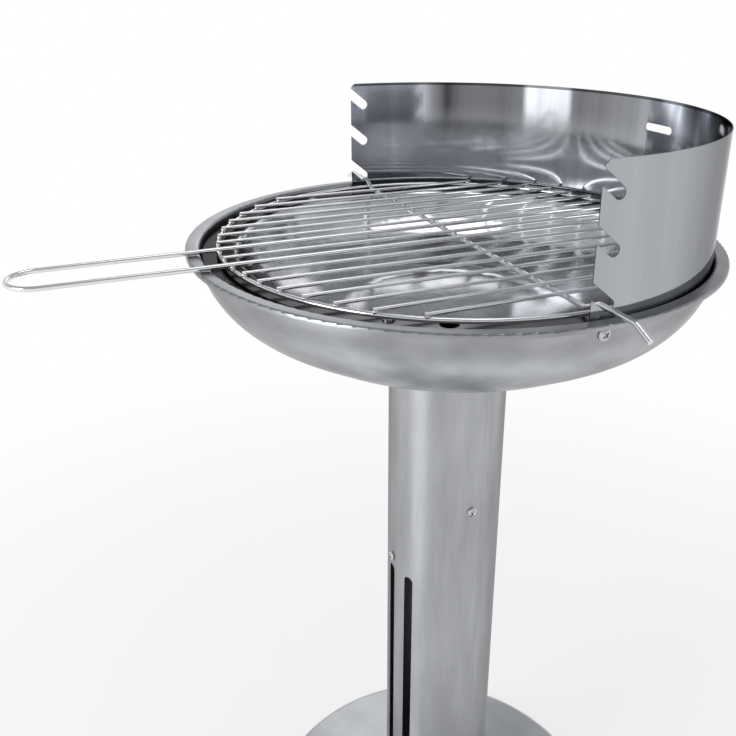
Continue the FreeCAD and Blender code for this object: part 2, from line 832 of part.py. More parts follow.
def make_bracket_fasteners():
    """A domed screw down through shelf and bracket, with a nut below."""
    screws("bracket_screws", "fire_sheet + bracket_strip + nut_height + screw_end",
           level_places(BRACKET_AZIMUTHS, BRACKET_CIRCLE, SHELF_Z, UP))
    under = f"{SHELF_Z} - fire_sheet - bracket_strip"
    nuts("bracket_nuts", level_places(BRACKET_AZIMUTHS, BRACKET_CIRCLE, under, DOWN))


# Windshield

def notch_walk(level):
    """A slanted notch, open to the front, whose round end is the rod's seat."""
    seat_y = NOTCH_END_Y
    seat_z = f"({NOTCH_END_Z} + {level} * level_pitch)"
    half = "notch_width / 2"
    run = "notch_reach * 2"
    x = f"{seat_y} + {half} * sin(notch_angle) - {run} * cos(notch_angle)"
    y = f"{seat_z} + {half} * cos(notch_angle) + {run} * sin(notch_angle)"
    walk = Walk(x, y, "-notch_angle")
    walk.line(run).right(half, 90).right(half, 90).line(run)
    return walk.loop()


def nose_slot_walk(level):
    """A level slot with round ends for the back of the grid."""
    z = f"({NOSE_SLOT_Z} + {level} * level_pitch)"
    half = "nose_slot_height / 2"
    run = "(nose_slot_width - nose_slot_height)"
    walk = Walk(f"-{run} / 2", f"{z} - {half}", 0)
    walk.line(run).left(half, 90).left(half, 90).line(run).left(half, 90).left(half, 90)
    return walk.ring()


def lowered(outline, shift):
    """An outline moved up or down."""
    return [((x, f"{y} + ({shift})"), bend) for (x, y), bend in outline]


def make_windshield():
    """A rolled sheet behind the grid, with three notches at each end and three slots behind."""
    start = "(90 - shield_half_span)"
    walk = Walk(f"{SHIELD_RADIUS} * cos({start})", f"{SHIELD_RADIUS} * sin({start})",
                f"90 + {start}")
    walk.left(SHIELD_RADIUS, "shield_half_span").left(SHIELD_RADIUS, "shield_half_span")
    low = "rim_height - shield_skirt"
    body = padded("windshield_blank", walk.strip("shield_sheet"),
                  "shield_height + shield_skirt", low)
    shift = "-(rim_height - shield_skirt)"
    notches = [lowered(notch_walk(level), shift) for level in range(3)]
    pocket_through(body, sketch_on(body, "YZ_Plane", notches))
    edge = f"{SHIELD_RADIUS} * sin({start})"
    top = "shield_height + shield_skirt"
    corner = [
        ((f"{edge} - cut_past", f"{top} - shield_corner - cut_past"), None),
        ((f"{edge} + shield_corner + cut_past", f"{top} + cut_past"), None),
        ((f"{edge} - cut_past", f"{top} + cut_past"), None),
    ]
    pocket_through(body, sketch_on(body, "YZ_Plane", [corner]))
    slots = [lowered(nose_slot_walk(level), shift) for level in range(3)]
    pocket_through(body, sketch_on(body, "XZ_Plane", slots))
    holes = radial_holes("windshield", SHIELD_AZIMUTHS, "rim_radius",
                         "rim_height - shield_screw_depth")
    drilled("windshield", body, holes)


def make_shield_fasteners():
    """Screws through the bowl's wall and the windshield's skirt, with nuts inside."""
    height = "rim_height - shield_screw_depth"
    outer = f"({WALL_INNER} + bowl_sheet + slip_gap)"
    length = "bowl_sheet + shield_gap + shield_sheet + nut_height + screw_end"
    screws("shield_screws", length, radial_places(SHIELD_AZIMUTHS, outer, height))
    seat = f"(sqrt(({SHIELD_RADIUS} - shield_sheet) ^ 2 - nut_corner ^ 2) - slip_gap)"
    nuts("shield_nuts", radial_places(SHIELD_AZIMUTHS, seat, height, inward=True))


# Cooking grid

def make_grid_ring():
    """The grid's round frame wire, under its bars."""
    ring = document.addObject("Part::Torus", "grid_ring_torus")
    bind(ring, Radius1=GRID_RADIUS, Radius2="grid_wire / 2")
    keep(place(ring, 0, 0, LOWER_LAYER_Z), "grid_ring")


def make_grid_bars():
    """Thin bars laid on the ring, one between the handle's legs and the rest beside them."""
    along = Rotation(Vector(1, 0, 0), -90)
    members = []
    beside = int(value("side_bar_count"))
    steps = [0] + [side * (step + 2) for side in (-1, 1) for step in range(beside)]
    for index, step in enumerate(sorted(steps), start=1):
        x = f"({step}) * bar_pitch"
        half = f"sqrt({BAR_TIP_RADIUS} ^ 2 - ({x}) ^ 2)"
        members.append(rod(f"grid_bar_{index}", x, f"-{half}", BAR_Z, "bar_wire / 2",
                           f"2 * {half}", along))
    grouped("grid_bars", members)


def make_grid_handle():
    """One wire: two legs across the ring, the long handle in front and the nose behind."""
    tip = "(rim_radius + handle_overhang - grid_wire / 2 - bar_pitch)"
    nose = f"({SHIELD_RADIUS} + nose_overhang - grid_wire / 2 - bar_pitch)"
    walk = Walk("bar_pitch", "-wire_gap", -90)
    walk.line(f"{tip} - wire_gap").right("bar_pitch", 90).right("bar_pitch", 90)
    walk.line(f"{tip} + {nose}").right("bar_pitch", 90).right("bar_pitch", 90)
    walk.line(nose)
    body = piped("grid_handle", walk, "XY_Plane", "grid_wire", "XZ_Plane", ("bar_pitch", "0"))
    keep(place(body, 0, 0, LEG_Z), "grid_handle")


def make_grid_cross_rod():
    """The carrying rod under the bars, cranked up over the rim, its tips bent down outside."""
    rise = f"({ROD_SHOULDER_Z} - {LOWER_LAYER_Z})"
    tangent = "(crank_bend * tan(crank_angle / 2))"
    crank_run = f"({rise} / sin(crank_angle) - 2 * {tangent})"
    flat = f"({GRID_RADIUS} - crank_inset - {tangent})"
    tip_tangent = "(rod_tip_bend * tan(rod_tip_angle / 2))"
    shoulder = f"(rod_shoulder + {tip_tangent})"
    reach = (f"({flat} + 2 * crank_bend * sin(crank_angle) + {crank_run} * cos(crank_angle)"
             f" + {shoulder} + rod_tip_bend * sin(rod_tip_angle)"
             " + rod_tip_run * cos(rod_tip_angle))")
    drop = "(rod_tip_bend * (1 - cos(rod_tip_angle)) + rod_tip_run * sin(rod_tip_angle))"
    walk = Walk(f"-{reach}", f"{rise} - {drop}", "rod_tip_angle")
    walk.line("rod_tip_run").right("rod_tip_bend", "rod_tip_angle").line(shoulder)
    walk.right("crank_bend", "crank_angle").line(crank_run).left("crank_bend", "crank_angle")
    walk.line(f"2 * {flat}")
    walk.left("crank_bend", "crank_angle").line(crank_run).right("crank_bend", "crank_angle")
    walk.line(shoulder).right("rod_tip_bend", "rod_tip_angle").line("rod_tip_run")
    body = new_body("grid_cross_rod")
    spine = sketch_on(body, "XZ_Plane", [walk.loop()], closed=False)
    section = body.newObject("Sketcher::SketchObject", "grid_cross_rod_section")
    section.AttachmentSupport = [(spine, "Edge1")]
    section.MapMode = "NormalToEdge"
    section.MapPathParameter = 0
    section.addGeometry(Part.Circle(Vector(), Vector(0, 0, 1), value("grid_wire / 2")), False)
    section.addConstraint(Sketcher.Constraint("Coincident", 0, 3, -1, 1))
    size = section.addConstraint(Sketcher.Constraint("Radius", 0, value("grid_wire / 2")))
    section.setExpression(f"Constraints[{size}]", linked("grid_wire / 2"))
    pipe = body.newObject("PartDesign::AdditivePipe", "grid_cross_rod_pipe")
    pipe.Profile = section
    pipe.Spine = (spine, [])
    keep(place(body, 0, NOTCH_END_Y, LOWER_LAYER_Z), "grid_cross_rod")


def build():
    """Make every sub-part."""
    make_foot_dish()
    make_foot_trim()
    make_base_flange()
    make_base_fasteners()
    make_column_tube()
    make_seam_fasteners()
    make_column_hoop()
    make_hoop_fasteners()
    make_top_flange()
    make_bowl_fasteners()
    make_outer_bowl()
    make_fire_bowl()
    make_fire_bowl_brackets()
    make_bracket_fasteners()
    make_windshield()
    make_shield_fasteners()
    make_grid_ring()
    make_grid_bars()
    make_grid_handle()
    make_grid_cross_rod()


def check_and_export():
    """Stop on any failed feature, then write each sub-part to its own file."""
    for thing in document.Objects:
        if "Invalid" in thing.State or "Error" in thing.State:
            raise RuntimeError(f"{thing.Label} failed: {thing.State}")
    os.makedirs("parts", exist_ok=True)
    for label, thing in SUB_PARTS:
        shape = thing.Shape
        if shape.isNull() or not shape.isValid() or not shape.Solids:
            raise RuntimeError(f"{label} has no valid solid")
        shape.exportStep(f"parts/{label}.step")
        box = shape.BoundBox
        print(f"{label}: {len(shape.Solids)} solids, {shape.Volume / 1000:.2f} cm3,"
              f" z {box.ZMin:.2f} to {box.ZMax:.2f}")


build()
document.recompute()
check_and_export()
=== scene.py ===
# %% [markdown]
# # Dressing a steel column barbecue
#
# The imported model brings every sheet, wire and screw in its right place. This lesson keeps those
# shapes and gives them what a CAD file doesn't have: smooth shading, cross recesses in the screw
# heads, weld spots where wires cross, and steel that looks rolled, spun, brushed and plated.

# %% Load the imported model
import json
import math

import bmesh
import bpy
from mathutils import Matrix, Vector


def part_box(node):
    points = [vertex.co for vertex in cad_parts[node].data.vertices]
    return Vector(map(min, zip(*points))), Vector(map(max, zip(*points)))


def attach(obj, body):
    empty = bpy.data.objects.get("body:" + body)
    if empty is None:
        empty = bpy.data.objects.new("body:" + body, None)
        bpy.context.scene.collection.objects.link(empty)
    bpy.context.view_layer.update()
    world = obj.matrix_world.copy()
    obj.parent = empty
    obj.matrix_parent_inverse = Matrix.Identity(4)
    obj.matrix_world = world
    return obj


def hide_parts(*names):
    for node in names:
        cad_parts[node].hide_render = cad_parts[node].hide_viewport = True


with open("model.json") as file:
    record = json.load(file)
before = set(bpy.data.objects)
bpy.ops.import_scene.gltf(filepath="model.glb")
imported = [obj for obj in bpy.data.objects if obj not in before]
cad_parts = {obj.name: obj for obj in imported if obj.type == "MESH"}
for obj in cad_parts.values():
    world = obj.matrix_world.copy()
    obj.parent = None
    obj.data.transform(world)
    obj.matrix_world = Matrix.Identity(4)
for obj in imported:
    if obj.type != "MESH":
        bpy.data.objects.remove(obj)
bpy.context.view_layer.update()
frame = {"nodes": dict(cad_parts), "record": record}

# %% [markdown]
# ## The camera first
#
# The picture is taken from the front right, a little above the rim. A camera that was fitted to
# the rim's ellipse, the windshield and the column gives the distance, the lens and the tilt. The
# picture was cropped, so the lens axis is off the middle, and a small shift stands in for that.

# %% Place the camera
RIM_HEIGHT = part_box("outer_bowl")[1].z
CAMERA_DISTANCE = 0.703
CAMERA_RISE = 0.201
CAMERA_AZIMUTH = 62
CAMERA_YAW = -3.93
CAMERA_TILT = 21.65
CAMERA_ROLL = 0.48
PICTURE_SIDE = 736
FOCAL_PIXELS = 841
LENS_AXIS = (396, 316)
SENSOR_WIDTH = 36


def collected(data, name):
    """An object for a camera, a lamp, a mesh or a curve, at the origin."""
    obj = bpy.data.objects.new(name, data)
    bpy.context.scene.collection.objects.link(obj)
    return obj


camera_data = bpy.data.cameras.new("camera")
camera_data.sensor_width = SENSOR_WIDTH
camera_data.lens = FOCAL_PIXELS * SENSOR_WIDTH / PICTURE_SIDE
camera_data.shift_x = (PICTURE_SIDE / 2 - LENS_AXIS[0]) / PICTURE_SIDE
camera_data.shift_y = (LENS_AXIS[1] - PICTURE_SIDE / 2) / PICTURE_SIDE
camera = collected(camera_data, "camera")

around = Matrix.Rotation(math.radians(CAMERA_AZIMUTH), 4, "Z")
station = Matrix.Translation((0, -CAMERA_DISTANCE, RIM_HEIGHT + CAMERA_RISE))
pan = Matrix.Rotation(math.radians(-CAMERA_YAW), 4, "Z")
tilt = Matrix.Rotation(math.radians(90 - CAMERA_TILT), 4, "X")
roll = Matrix.Rotation(math.radians(CAMERA_ROLL), 4, "Z")
camera.matrix_world = around @ station @ pan @ tilt @ roll
bpy.context.scene.camera = camera
bpy.context.scene.view_settings.view_transform = "Standard"
print("lens", round(camera_data.lens, 1), "mm at", [round(v, 3) for v in camera.location])

# %% [markdown]
# ## Floor, world and lamps
#
# Bright steel has no colour of its own: it shows the room. The room is a pale floor under a pale
# horizon that greys towards the ceiling, so walls of steel mirror something light and faces that
# look up mirror something darker. The floor adds a share of plain white for rays that come
# straight from the camera or off a mirror. The share grows with the distance, so the floor keeps
# the object's shadow near the foot and melts into a white backdrop further out.
#
# Every node tree is made by the same two moves: add a node and link it. Two small helpers do
# that, here and in all the cells below.

# %% Make the world
HORIZON = (1.0, 1.0, 1.0, 1)
CEILING = (0.40, 0.41, 0.43, 1)
HORIZON_RISE = 0.06
CEILING_RISE = 0.6


def add(tree, kind, operation=None, **values):
    """A node with its operation and some of its inputs set by name."""
    node = tree.nodes.new(kind)
    if operation:
        node.operation = operation
    for name, value in values.items():
        node.inputs[name.replace("_", " ")].default_value = value
    return node


def connect(tree, *pairs):
    """Link the output and the input of each pair."""
    for source, target in pairs:
        tree.links.new(source, target)


def ramp(tree, *stops):
    """A colour ramp with two stops, each a place from 0 to 1 and a colour."""
    node = add(tree, "ShaderNodeValToRGB")
    for element, (position, colour) in zip(node.color_ramp.elements, stops):
        element.position = position
        element.color = colour
    return node


world = bpy.data.worlds.new("studio")
bpy.context.scene.world = world
world.use_nodes = True
tree = world.node_tree
tree.nodes.clear()
place = add(tree, "ShaderNodeTexCoord")
split = add(tree, "ShaderNodeSeparateXYZ")
climb = ramp(tree, (HORIZON_RISE, HORIZON), (CEILING_RISE, CEILING))
sky = add(tree, "ShaderNodeBackground")
out = add(tree, "ShaderNodeOutputWorld")
connect(tree,
        (place.outputs["Generated"], split.inputs[0]),
        (split.outputs["Z"], climb.inputs["Fac"]),
        (climb.outputs["Color"], sky.inputs["Color"]),
        (sky.outputs[0], out.inputs["Surface"]))
print("world nodes:", len(tree.nodes))

# %% Lay the floor
FLOOR_REACH = 120
FLOOR_COLOUR = (0.9, 0.9, 0.9, 1)
FLOOR_FADE = (0.3, 1.5)
FLOOR_WHITE = (0.72, 1.0)


def new_material(name):
    """The material of that name, with an empty node tree."""
    material = bpy.data.materials.get(name) or bpy.data.materials.new(name)
    material.use_nodes = True
    material.node_tree.nodes.clear()
    return material


def own_place(tree):
    """The place of the shaded point on its object."""
    return add(tree, "ShaderNodeTexCoord").outputs["Object"]


def math_node(tree, operation, first, second=None):
    """A Math node fed by sockets or numbers."""
    node = add(tree, "ShaderNodeMath", operation)
    for socket, source in zip(node.inputs, (first, second)):
        if isinstance(source, (int, float)):
            socket.default_value = source
        elif source is not None:
            tree.links.new(source, socket)
    return node.outputs[0]


def slope(tree, source, start, stop, before, after):
    """A smooth change from one value to another between two places."""
    node = add(tree, "ShaderNodeMapRange", From_Min=start, From_Max=stop, To_Min=before,
               To_Max=after)
    node.interpolation_type = "SMOOTHSTEP"
    tree.links.new(source, node.inputs["Value"])
    return node.outputs["Result"]


def pale_floor():
    """Matte floor that turns white for the camera and for mirrors, more so further out."""
    material = new_material("pale_floor")
    tree = material.node_tree
    matte = add(tree, "ShaderNodeBsdfDiffuse", Color=FLOOR_COLOUR)
    white = add(tree, "ShaderNodeEmission", Color=(1, 1, 1, 1))
    rays = add(tree, "ShaderNodeLightPath")
    seen = rays.outputs["Is Camera Ray"]
    for kind in ("Is Glossy Ray", "Is Transmission Ray"):
        seen = math_node(tree, "MAXIMUM", seen, rays.outputs[kind])
    far = add(tree, "ShaderNodeVectorMath", "LENGTH")
    tree.links.new(own_place(tree), far.inputs[0])
    fade = slope(tree, far.outputs["Value"], *FLOOR_FADE, *FLOOR_WHITE)
    blend = add(tree, "ShaderNodeMixShader")
    out = add(tree, "ShaderNodeOutputMaterial")
    connect(tree,
            (math_node(tree, "MULTIPLY", seen, fade), blend.inputs["Fac"]),
            (matte.outputs[0], blend.inputs[1]),
            (white.outputs[0], blend.inputs[2]),
            (blend.outputs[0], out.inputs["Surface"]))
    return material


floor_mesh = bpy.data.meshes.new("floor")
floor_corners = [(x * FLOOR_REACH, y * FLOOR_REACH, 0)
                 for x, y in ((-1, -1), (1, -1), (1, 1), (-1, 1))]
floor_mesh.from_pydata(floor_corners, [], [(0, 1, 2, 3)])
floor_mesh.materials.append(pale_floor())
floor = collected(floor_mesh, "floor")
print("floor reaches", FLOOR_REACH, "m each way")


# %% Hang the lamps
def lamp(name, place, aim, width, height, watts):
    """A soft rectangular lamp that looks at a point."""
    data = bpy.data.lights.new(name, "AREA")
    data.shape = "RECTANGLE"
    data.size = width
    data.size_y = height
    data.energy = watts
    obj = collected(data, name)
    obj.location = place
    obj.rotation_euler = (Vector(aim) - Vector(place)).to_track_quat("-Z", "Y").to_euler()


def strip_lamp(name, azimuth, distance, width, low, high, radiance):
    """An upright strip at an azimuth, facing the object, with a given brightness."""
    turn = math.radians(azimuth)
    middle = (low + high) / 2
    place = (distance * math.cos(turn), distance * math.sin(turn), middle)
    watts = radiance * math.pi * width * (high - low)
    lamp(name, place, (0, 0, middle), width, high - low, watts)


strip_lamp("key_box", azimuth=-77, distance=1.7, width=0.74, low=0.52, high=1.75, radiance=5.2)
strip_lamp("back_box", azimuth=163, distance=1.9, width=0.9, low=0.95, high=1.9, radiance=0.9)
lamp("top", place=(-0.15, 0.2, 2.2), aim=(0, 0, 0.7), width=0.8, height=0.8, watts=3.6)

# %% [markdown]
# ## Reading the solids
#
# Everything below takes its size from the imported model. A node may hold several solids, such as
# sixteen bars or four screws. Merging the loose triangles by distance joins each solid's corners,
# and then the connected groups are the solids.

# %% Find the solids of a node
MERGE_DISTANCE = 1e-6


def merged_copy(node):
    """A bmesh of a CAD node with its loose triangles joined."""
    shape = bmesh.new()
    shape.from_mesh(frame["nodes"][node].data)
    bmesh.ops.remove_doubles(shape, verts=shape.verts, dist=MERGE_DISTANCE)
    return shape


def solid_boxes(node):
    """The lowest and highest corner of each solid in a node."""
    shape = merged_copy(node)
    boxes = []
    waiting = set(shape.verts)
    while waiting:
        front = [waiting.pop()]
        low, high = front[0].co.copy(), front[0].co.copy()
        while front:
            vertex = front.pop()
            low = Vector(map(min, low, vertex.co))
            high = Vector(map(max, high, vertex.co))
            for edge in vertex.link_edges:
                other = edge.other_vert(vertex)
                if other in waiting:
                    waiting.remove(other)
                    front.append(other)
        boxes.append((low, high))
    shape.free()
    return sorted(boxes, key=lambda box: tuple(round(v, 5) for v in box[0]))


bar_boxes = solid_boxes("grid_bars")
print("bars on the cooking grid:", len(bar_boxes))

# %% [markdown]
# ## Smooth skins for sheet metal
#
# Spun and rolled sheet must mirror the room without facets. A copy of the node with merged
# corners can be shaded smooth, with the cut edges kept sharp. Normals weighted by face area keep
# the flat stretches flat and let the small bends do the turning.

# %% Make the skins
SHEET_SHARP_ANGLE = 28
SHEET_NODES = ["outer_bowl", "fire_bowl", "windshield", "column_tube", "foot_dish",
               "foot_trim_ring", "base_flange", "top_flange", "column_hoop", "bowl_washers",
               "fire_bowl_brackets"]


def as_plain_mesh(obj, name):
    """Turn what an object shows into a plain mesh object, and drop the object."""
    graph = bpy.context.evaluated_depsgraph_get()
    graph.update()
    mesh = bpy.data.meshes.new_from_object(obj.evaluated_get(graph))
    mesh.name = name
    old = obj.data
    bpy.data.objects.remove(obj)
    if old.users == 0 and isinstance(old, bpy.types.Mesh):
        bpy.data.meshes.remove(old)
    return collected(mesh, name)


def smooth(mesh, sharp_angle):
    """Shade a mesh smooth and keep the edges sharp that turn by more than an angle."""
    mesh.shade_smooth()
    mesh.set_sharp_from_angle(angle=math.radians(sharp_angle))


def smooth_skin(node):
    """A smooth-shaded copy of a CAD node that keeps its cut edges."""
    shape = merged_copy(node)
    corners = [vertex.co.copy() for vertex in shape.verts]
    shape.verts.index_update()
    faces = [[vertex.index for vertex in face.verts] for face in shape.faces]
    shape.free()
    mesh = bpy.data.meshes.new(node + "_rough")
    mesh.from_pydata(corners, [], faces)
    smooth(mesh, SHEET_SHARP_ANGLE)
    rough = collected(mesh, node + "_rough")
    weigh = rough.modifiers.new("weighted", "WEIGHTED_NORMAL")
    weigh.keep_sharp = True
    return as_plain_mesh(rough, node + "_skin")


body_of_node = {node: body for body, nodes in frame["record"]["behaviour"]["bodies"].items()
                for node in nodes}


def finish_piece(piece, node):
    """Let a piece stand for its node and move with its body."""
    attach(piece, body_of_node[node])
    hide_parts(node)
    return piece


skins = {node: finish_piece(smooth_skin(node), node) for node in SHEET_NODES}
for node, skin in skins.items():
    print(node, len(skin.data.polygons), "triangles")

# %% [markdown]
# ## Bars of the cooking grid
#
# The grid is one straight bar repeated, each as long as the circle allows. The tree puts one round
# bar on every point and stretches it to the length stored there. Its ends are cut square, and
# pressing them into the hot ring has drawn them back onto the ring's top.
#
# Three trees in this lesson repeat a piece, and they all end in the same way: an instance on each
# point, made real, shaded smooth and given its material. One helper builds that end.

# %% The tree that lays bars
BAR_SIDES = 14


def node_group(name, kind, inputs, outputs):
    """An empty node group with sockets given by their label and kind."""
    group = bpy.data.node_groups.new(name, kind)
    for way, sockets in (("INPUT", inputs), ("OUTPUT", outputs)):
        for label, socket in sockets.items():
            group.interface.new_socket(label, in_out=way, socket_type="NodeSocket" + socket)
    return group, add(group, "NodeGroupInput"), add(group, "NodeGroupOutput")


def repeating_tree(name, **inputs):
    """An empty Geometry Nodes tree that takes points, a material and what else is named."""
    inputs = {"Geometry": "Geometry", "Material": "Material", **inputs}
    return node_group(name, "GeometryNodeTree", inputs, {"Geometry": "Geometry"})


def lay_on_points(tree, given, result, **sockets):
    """End a tree: put an instance on each point, make it real and set its material."""
    laid = add(tree, "GeometryNodeInstanceOnPoints")
    tree.links.new(given.outputs["Geometry"], laid.inputs["Points"])
    for name, source in sockets.items():
        tree.links.new(source, laid.inputs[name])
    shape = laid.outputs["Instances"]
    for kind in ("RealizeInstances", "SetShadeSmooth", "SetMaterial"):
        node = add(tree, "GeometryNode" + kind)
        tree.links.new(shape, node.inputs["Geometry"])
        shape = node.outputs["Geometry"]
    connect(tree, (given.outputs["Material"], node.inputs["Material"]),
            (shape, result.inputs["Geometry"]))


def stored(tree, name, kind):
    """A value that each point carries."""
    node = add(tree, "GeometryNodeInputNamedAttribute", Name=name)
    node.data_type = kind
    return node.outputs["Attribute"]


def build_bar_tree():
    """A round bar along Y on every point, as long as the point says."""
    tree, given, result = repeating_tree("lay_bars", Radius="Float")
    unit = add(tree, "GeometryNodeCurvePrimitiveLine", Start=(0, -1, 0), End=(0, 1, 0))
    section = add(tree, "GeometryNodeCurvePrimitiveCircle", Resolution=BAR_SIDES)
    tube = add(tree, "GeometryNodeCurveToMesh", Fill_Caps=True)
    size = add(tree, "ShaderNodeCombineXYZ", X=1.0, Z=1.0)
    connect(tree,
            (given.outputs["Radius"], section.inputs["Radius"]),
            (unit.outputs["Curve"], tube.inputs["Curve"]),
            (section.outputs["Curve"], tube.inputs["Profile Curve"]),
            (stored(tree, "half_length", "FLOAT"), size.inputs["Y"]))
    lay_on_points(tree, given, result, Instance=tube.outputs["Mesh"],
                  Scale=size.outputs["Vector"])
    return tree


bar_tree = build_bar_tree()
print("bar tree nodes:", len(bar_tree.nodes))

# %% [markdown]
# The plating is one material for all the wire. It is made here, still empty, because the trees
# end by setting it, and its look is built further down with the other finishes.

# %% Lay the bars
BAR_PAST_RING = 0.0012
BAR_SHARP_ANGLE = 40
chrome_wire = bpy.data.materials.new("chrome_wire")


def points_object(name, places, **attributes):
    """A mesh of loose points, each with its own values for the tree to read."""
    mesh = bpy.data.meshes.new(name)
    mesh.from_pydata(places, [], [])
    for label, values in attributes.items():
        single = isinstance(values[0], float)
        attribute = mesh.attributes.new(label, "FLOAT" if single else "FLOAT_VECTOR", "POINT")
        for item, value in zip(attribute.data, values):
            setattr(item, "value" if single else "vector", value)
    return collected(mesh, name)


def set_input(modifier, name, value):
    """Set a modifier's input by the identifier of the tree's socket."""
    for item in modifier.node_group.interface.items_tree:
        if item.item_type == "SOCKET" and item.in_out == "INPUT" and item.name == name:
            modifier[item.identifier] = value
            return
    raise KeyError(name)


def grown(points, tree, name, **inputs):
    """Run a tree on a points object and keep the result as a plain mesh object."""
    modifier = points.modifiers.new("grow", "NODES")
    modifier.node_group = tree
    for label, value in inputs.items():
        set_input(modifier, label.capitalize(), value)
    points.update_tag()
    return as_plain_mesh(points, name)


ring_low, ring_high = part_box("grid_ring")
ring_wire_radius = (ring_high.z - ring_low.z) / 2
ring_radius = (ring_high.x - ring_low.x) / 2 - ring_wire_radius
bar_places = [(low + high) / 2 for low, high in bar_boxes]
bar_radius = (bar_boxes[0][1].z - bar_boxes[0][0].z) / 2
bar_reach = ring_radius + BAR_PAST_RING
half_lengths = [min((high.y - low.y) / 2, math.sqrt(bar_reach ** 2 - place.x ** 2))
                for (low, high), place in zip(bar_boxes, bar_places)]
bar_points = points_object("grid_bars_points", bar_places, half_length=half_lengths)
grid_bars = grown(bar_points, bar_tree, "grid_bars_round", radius=bar_radius,
                  material=chrome_wire)
smooth(grid_bars.data, BAR_SHARP_ANGLE)
finish_piece(grid_bars, "grid_bars")
print("longest bar", round(2000 * max(half_lengths), 1), "mm")

# %% [markdown]
# ## Bent wires
#
# The ring, the handle and the cross rod are single wires bent in a plane. A curve that follows
# the wire's middle line, with a round bevel, gives a clean tube: the handle is two straight legs
# and two half circles, and the rod is straight stretches joined by short arcs.

# %% The ring and the handle
WIRE_SIDES = 4
WIRE_SHARP_ANGLE = 50
RING_STEPS = 180
BEND_STEPS = 24


def coat(obj, material):
    """Give an object one material and no other."""
    obj.data.materials.clear()
    obj.data.materials.append(material)


def wire(name, line, radius, closed, node):
    """A round wire along a list of points, in the place of a node."""
    curve = bpy.data.curves.new(name + "_line", "CURVE")
    curve.dimensions = "3D"
    spline = curve.splines.new("POLY")
    spline.points.add(len(line) - 1)
    for point, place in zip(spline.points, line):
        point.co = (*place, 1)
    spline.use_cyclic_u = closed
    curve.bevel_depth = radius
    curve.bevel_resolution = WIRE_SIDES
    curve.use_fill_caps = True
    made = as_plain_mesh(collected(curve, name + "_line"), name)
    smooth(made.data, WIRE_SHARP_ANGLE)
    coat(made, chrome_wire)
    return finish_piece(made, node)


def on_circle(centre, radius, angles):
    """Points of a level circle at some angles in radians."""
    return [centre + radius * Vector((math.cos(a), math.sin(a), 0)) for a in angles]


def half_circle(centre, radius, first):
    """Points of a level half circle, from an angle in degrees onwards."""
    steps = range(BEND_STEPS + 1)
    return on_circle(centre, radius, [math.radians(first + 180 * s / BEND_STEPS) for s in steps])


ring_angles = [2 * math.pi * step / RING_STEPS for step in range(RING_STEPS)]
ring_line = on_circle((ring_low + ring_high) / 2, ring_radius, ring_angles)
wire("grid_ring_round", ring_line, ring_wire_radius, True, "grid_ring")

low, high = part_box("grid_handle")
handle_radius = (high.z - low.z) / 2
handle_level = (low.z + high.z) / 2
leg = high.x - handle_radius
front = Vector((0, low.y + handle_radius + leg, handle_level))
nose = Vector((0, high.y - handle_radius - leg, handle_level))
handle_line = half_circle(nose, leg, 0) + half_circle(front, leg, 180)
wire("handle_wire", handle_line, handle_radius, True, "grid_handle")
print("handle legs", round(leg * 2000, 1), "mm apart, ring", round(ring_high.x * 2000, 1), "mm")

# %% The cross rod
CRANK_INSET = 0.0098
CRANK_ANGLE = math.radians(25)
CRANK_BEND = 0.006
TIP_ANGLE = math.radians(24)
TIP_BEND = 0.008
TIP_RUN = 0.015
CORNER_STEPS = 6


def rounded_line(corners, bends):
    """A line of points through corners, each corner rounded by its own radius."""
    line = [corners[0]]
    for before, corner, after, bend in zip(corners, corners[1:], corners[2:], bends):
        into = (corner - before).normalized()
        onto = (after - corner).normalized()
        turn = into.angle(onto)
        cut = bend * math.tan(turn / 2)
        centre = corner + (onto - into).normalized() * bend / math.cos(turn / 2)
        start = corner - into * cut - centre
        axis = into.cross(onto)
        for step in range(CORNER_STEPS + 1):
            line.append(centre + Matrix.Rotation(turn * step / CORNER_STEPS, 3, axis) @ start)
    line.append(corners[-1])
    return line


low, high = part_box("grid_cross_rod")
rod_radius = (high.y - low.y) / 2
rod_y = (low.y + high.y) / 2
rod_low = ring_low.z + rod_radius
rod_high = high.z - rod_radius
crank_start = ring_high.x - rod_radius - CRANK_INSET
crank_end = crank_start + (rod_high - rod_low) / math.tan(CRANK_ANGLE)
tip_drop = TIP_RUN + TIP_BEND * math.tan(TIP_ANGLE / 2)
tip_x = high.x - rod_radius * math.sin(TIP_ANGLE)
tip_bend_x = tip_x - tip_drop * math.cos(TIP_ANGLE)
right_half = [
    Vector((crank_start, rod_y, rod_low)),
    Vector((crank_end, rod_y, rod_high)),
    Vector((tip_bend_x, rod_y, rod_high)),
    Vector((tip_x, rod_y, rod_high - tip_drop * math.sin(TIP_ANGLE))),
]
left_half = [Vector((-corner.x, corner.y, corner.z)) for corner in reversed(right_half)]
rod_bends = [TIP_BEND] + [CRANK_BEND] * 4 + [TIP_BEND]
rod_line = rounded_line(left_half + right_half, rod_bends)
wire("cross_rod_wire", rod_line, rod_radius, False, "grid_cross_rod")
print("rod level", round(rod_low, 4), "seat level", round(rod_high, 4))

# %% [markdown]
# ## Weld spots
#
# Each bar is pressed into the ring hot, which leaves a small bead that fills the corner between
# them. The beads repeat, so a tree sets one on every crossing point, each a little different in
# size.

# %% The tree that sets weld spots
BEAD_SUBDIVISIONS = 2
BEAD_SIZES = (0.85, 1.1)
BEAD_SEED = 4


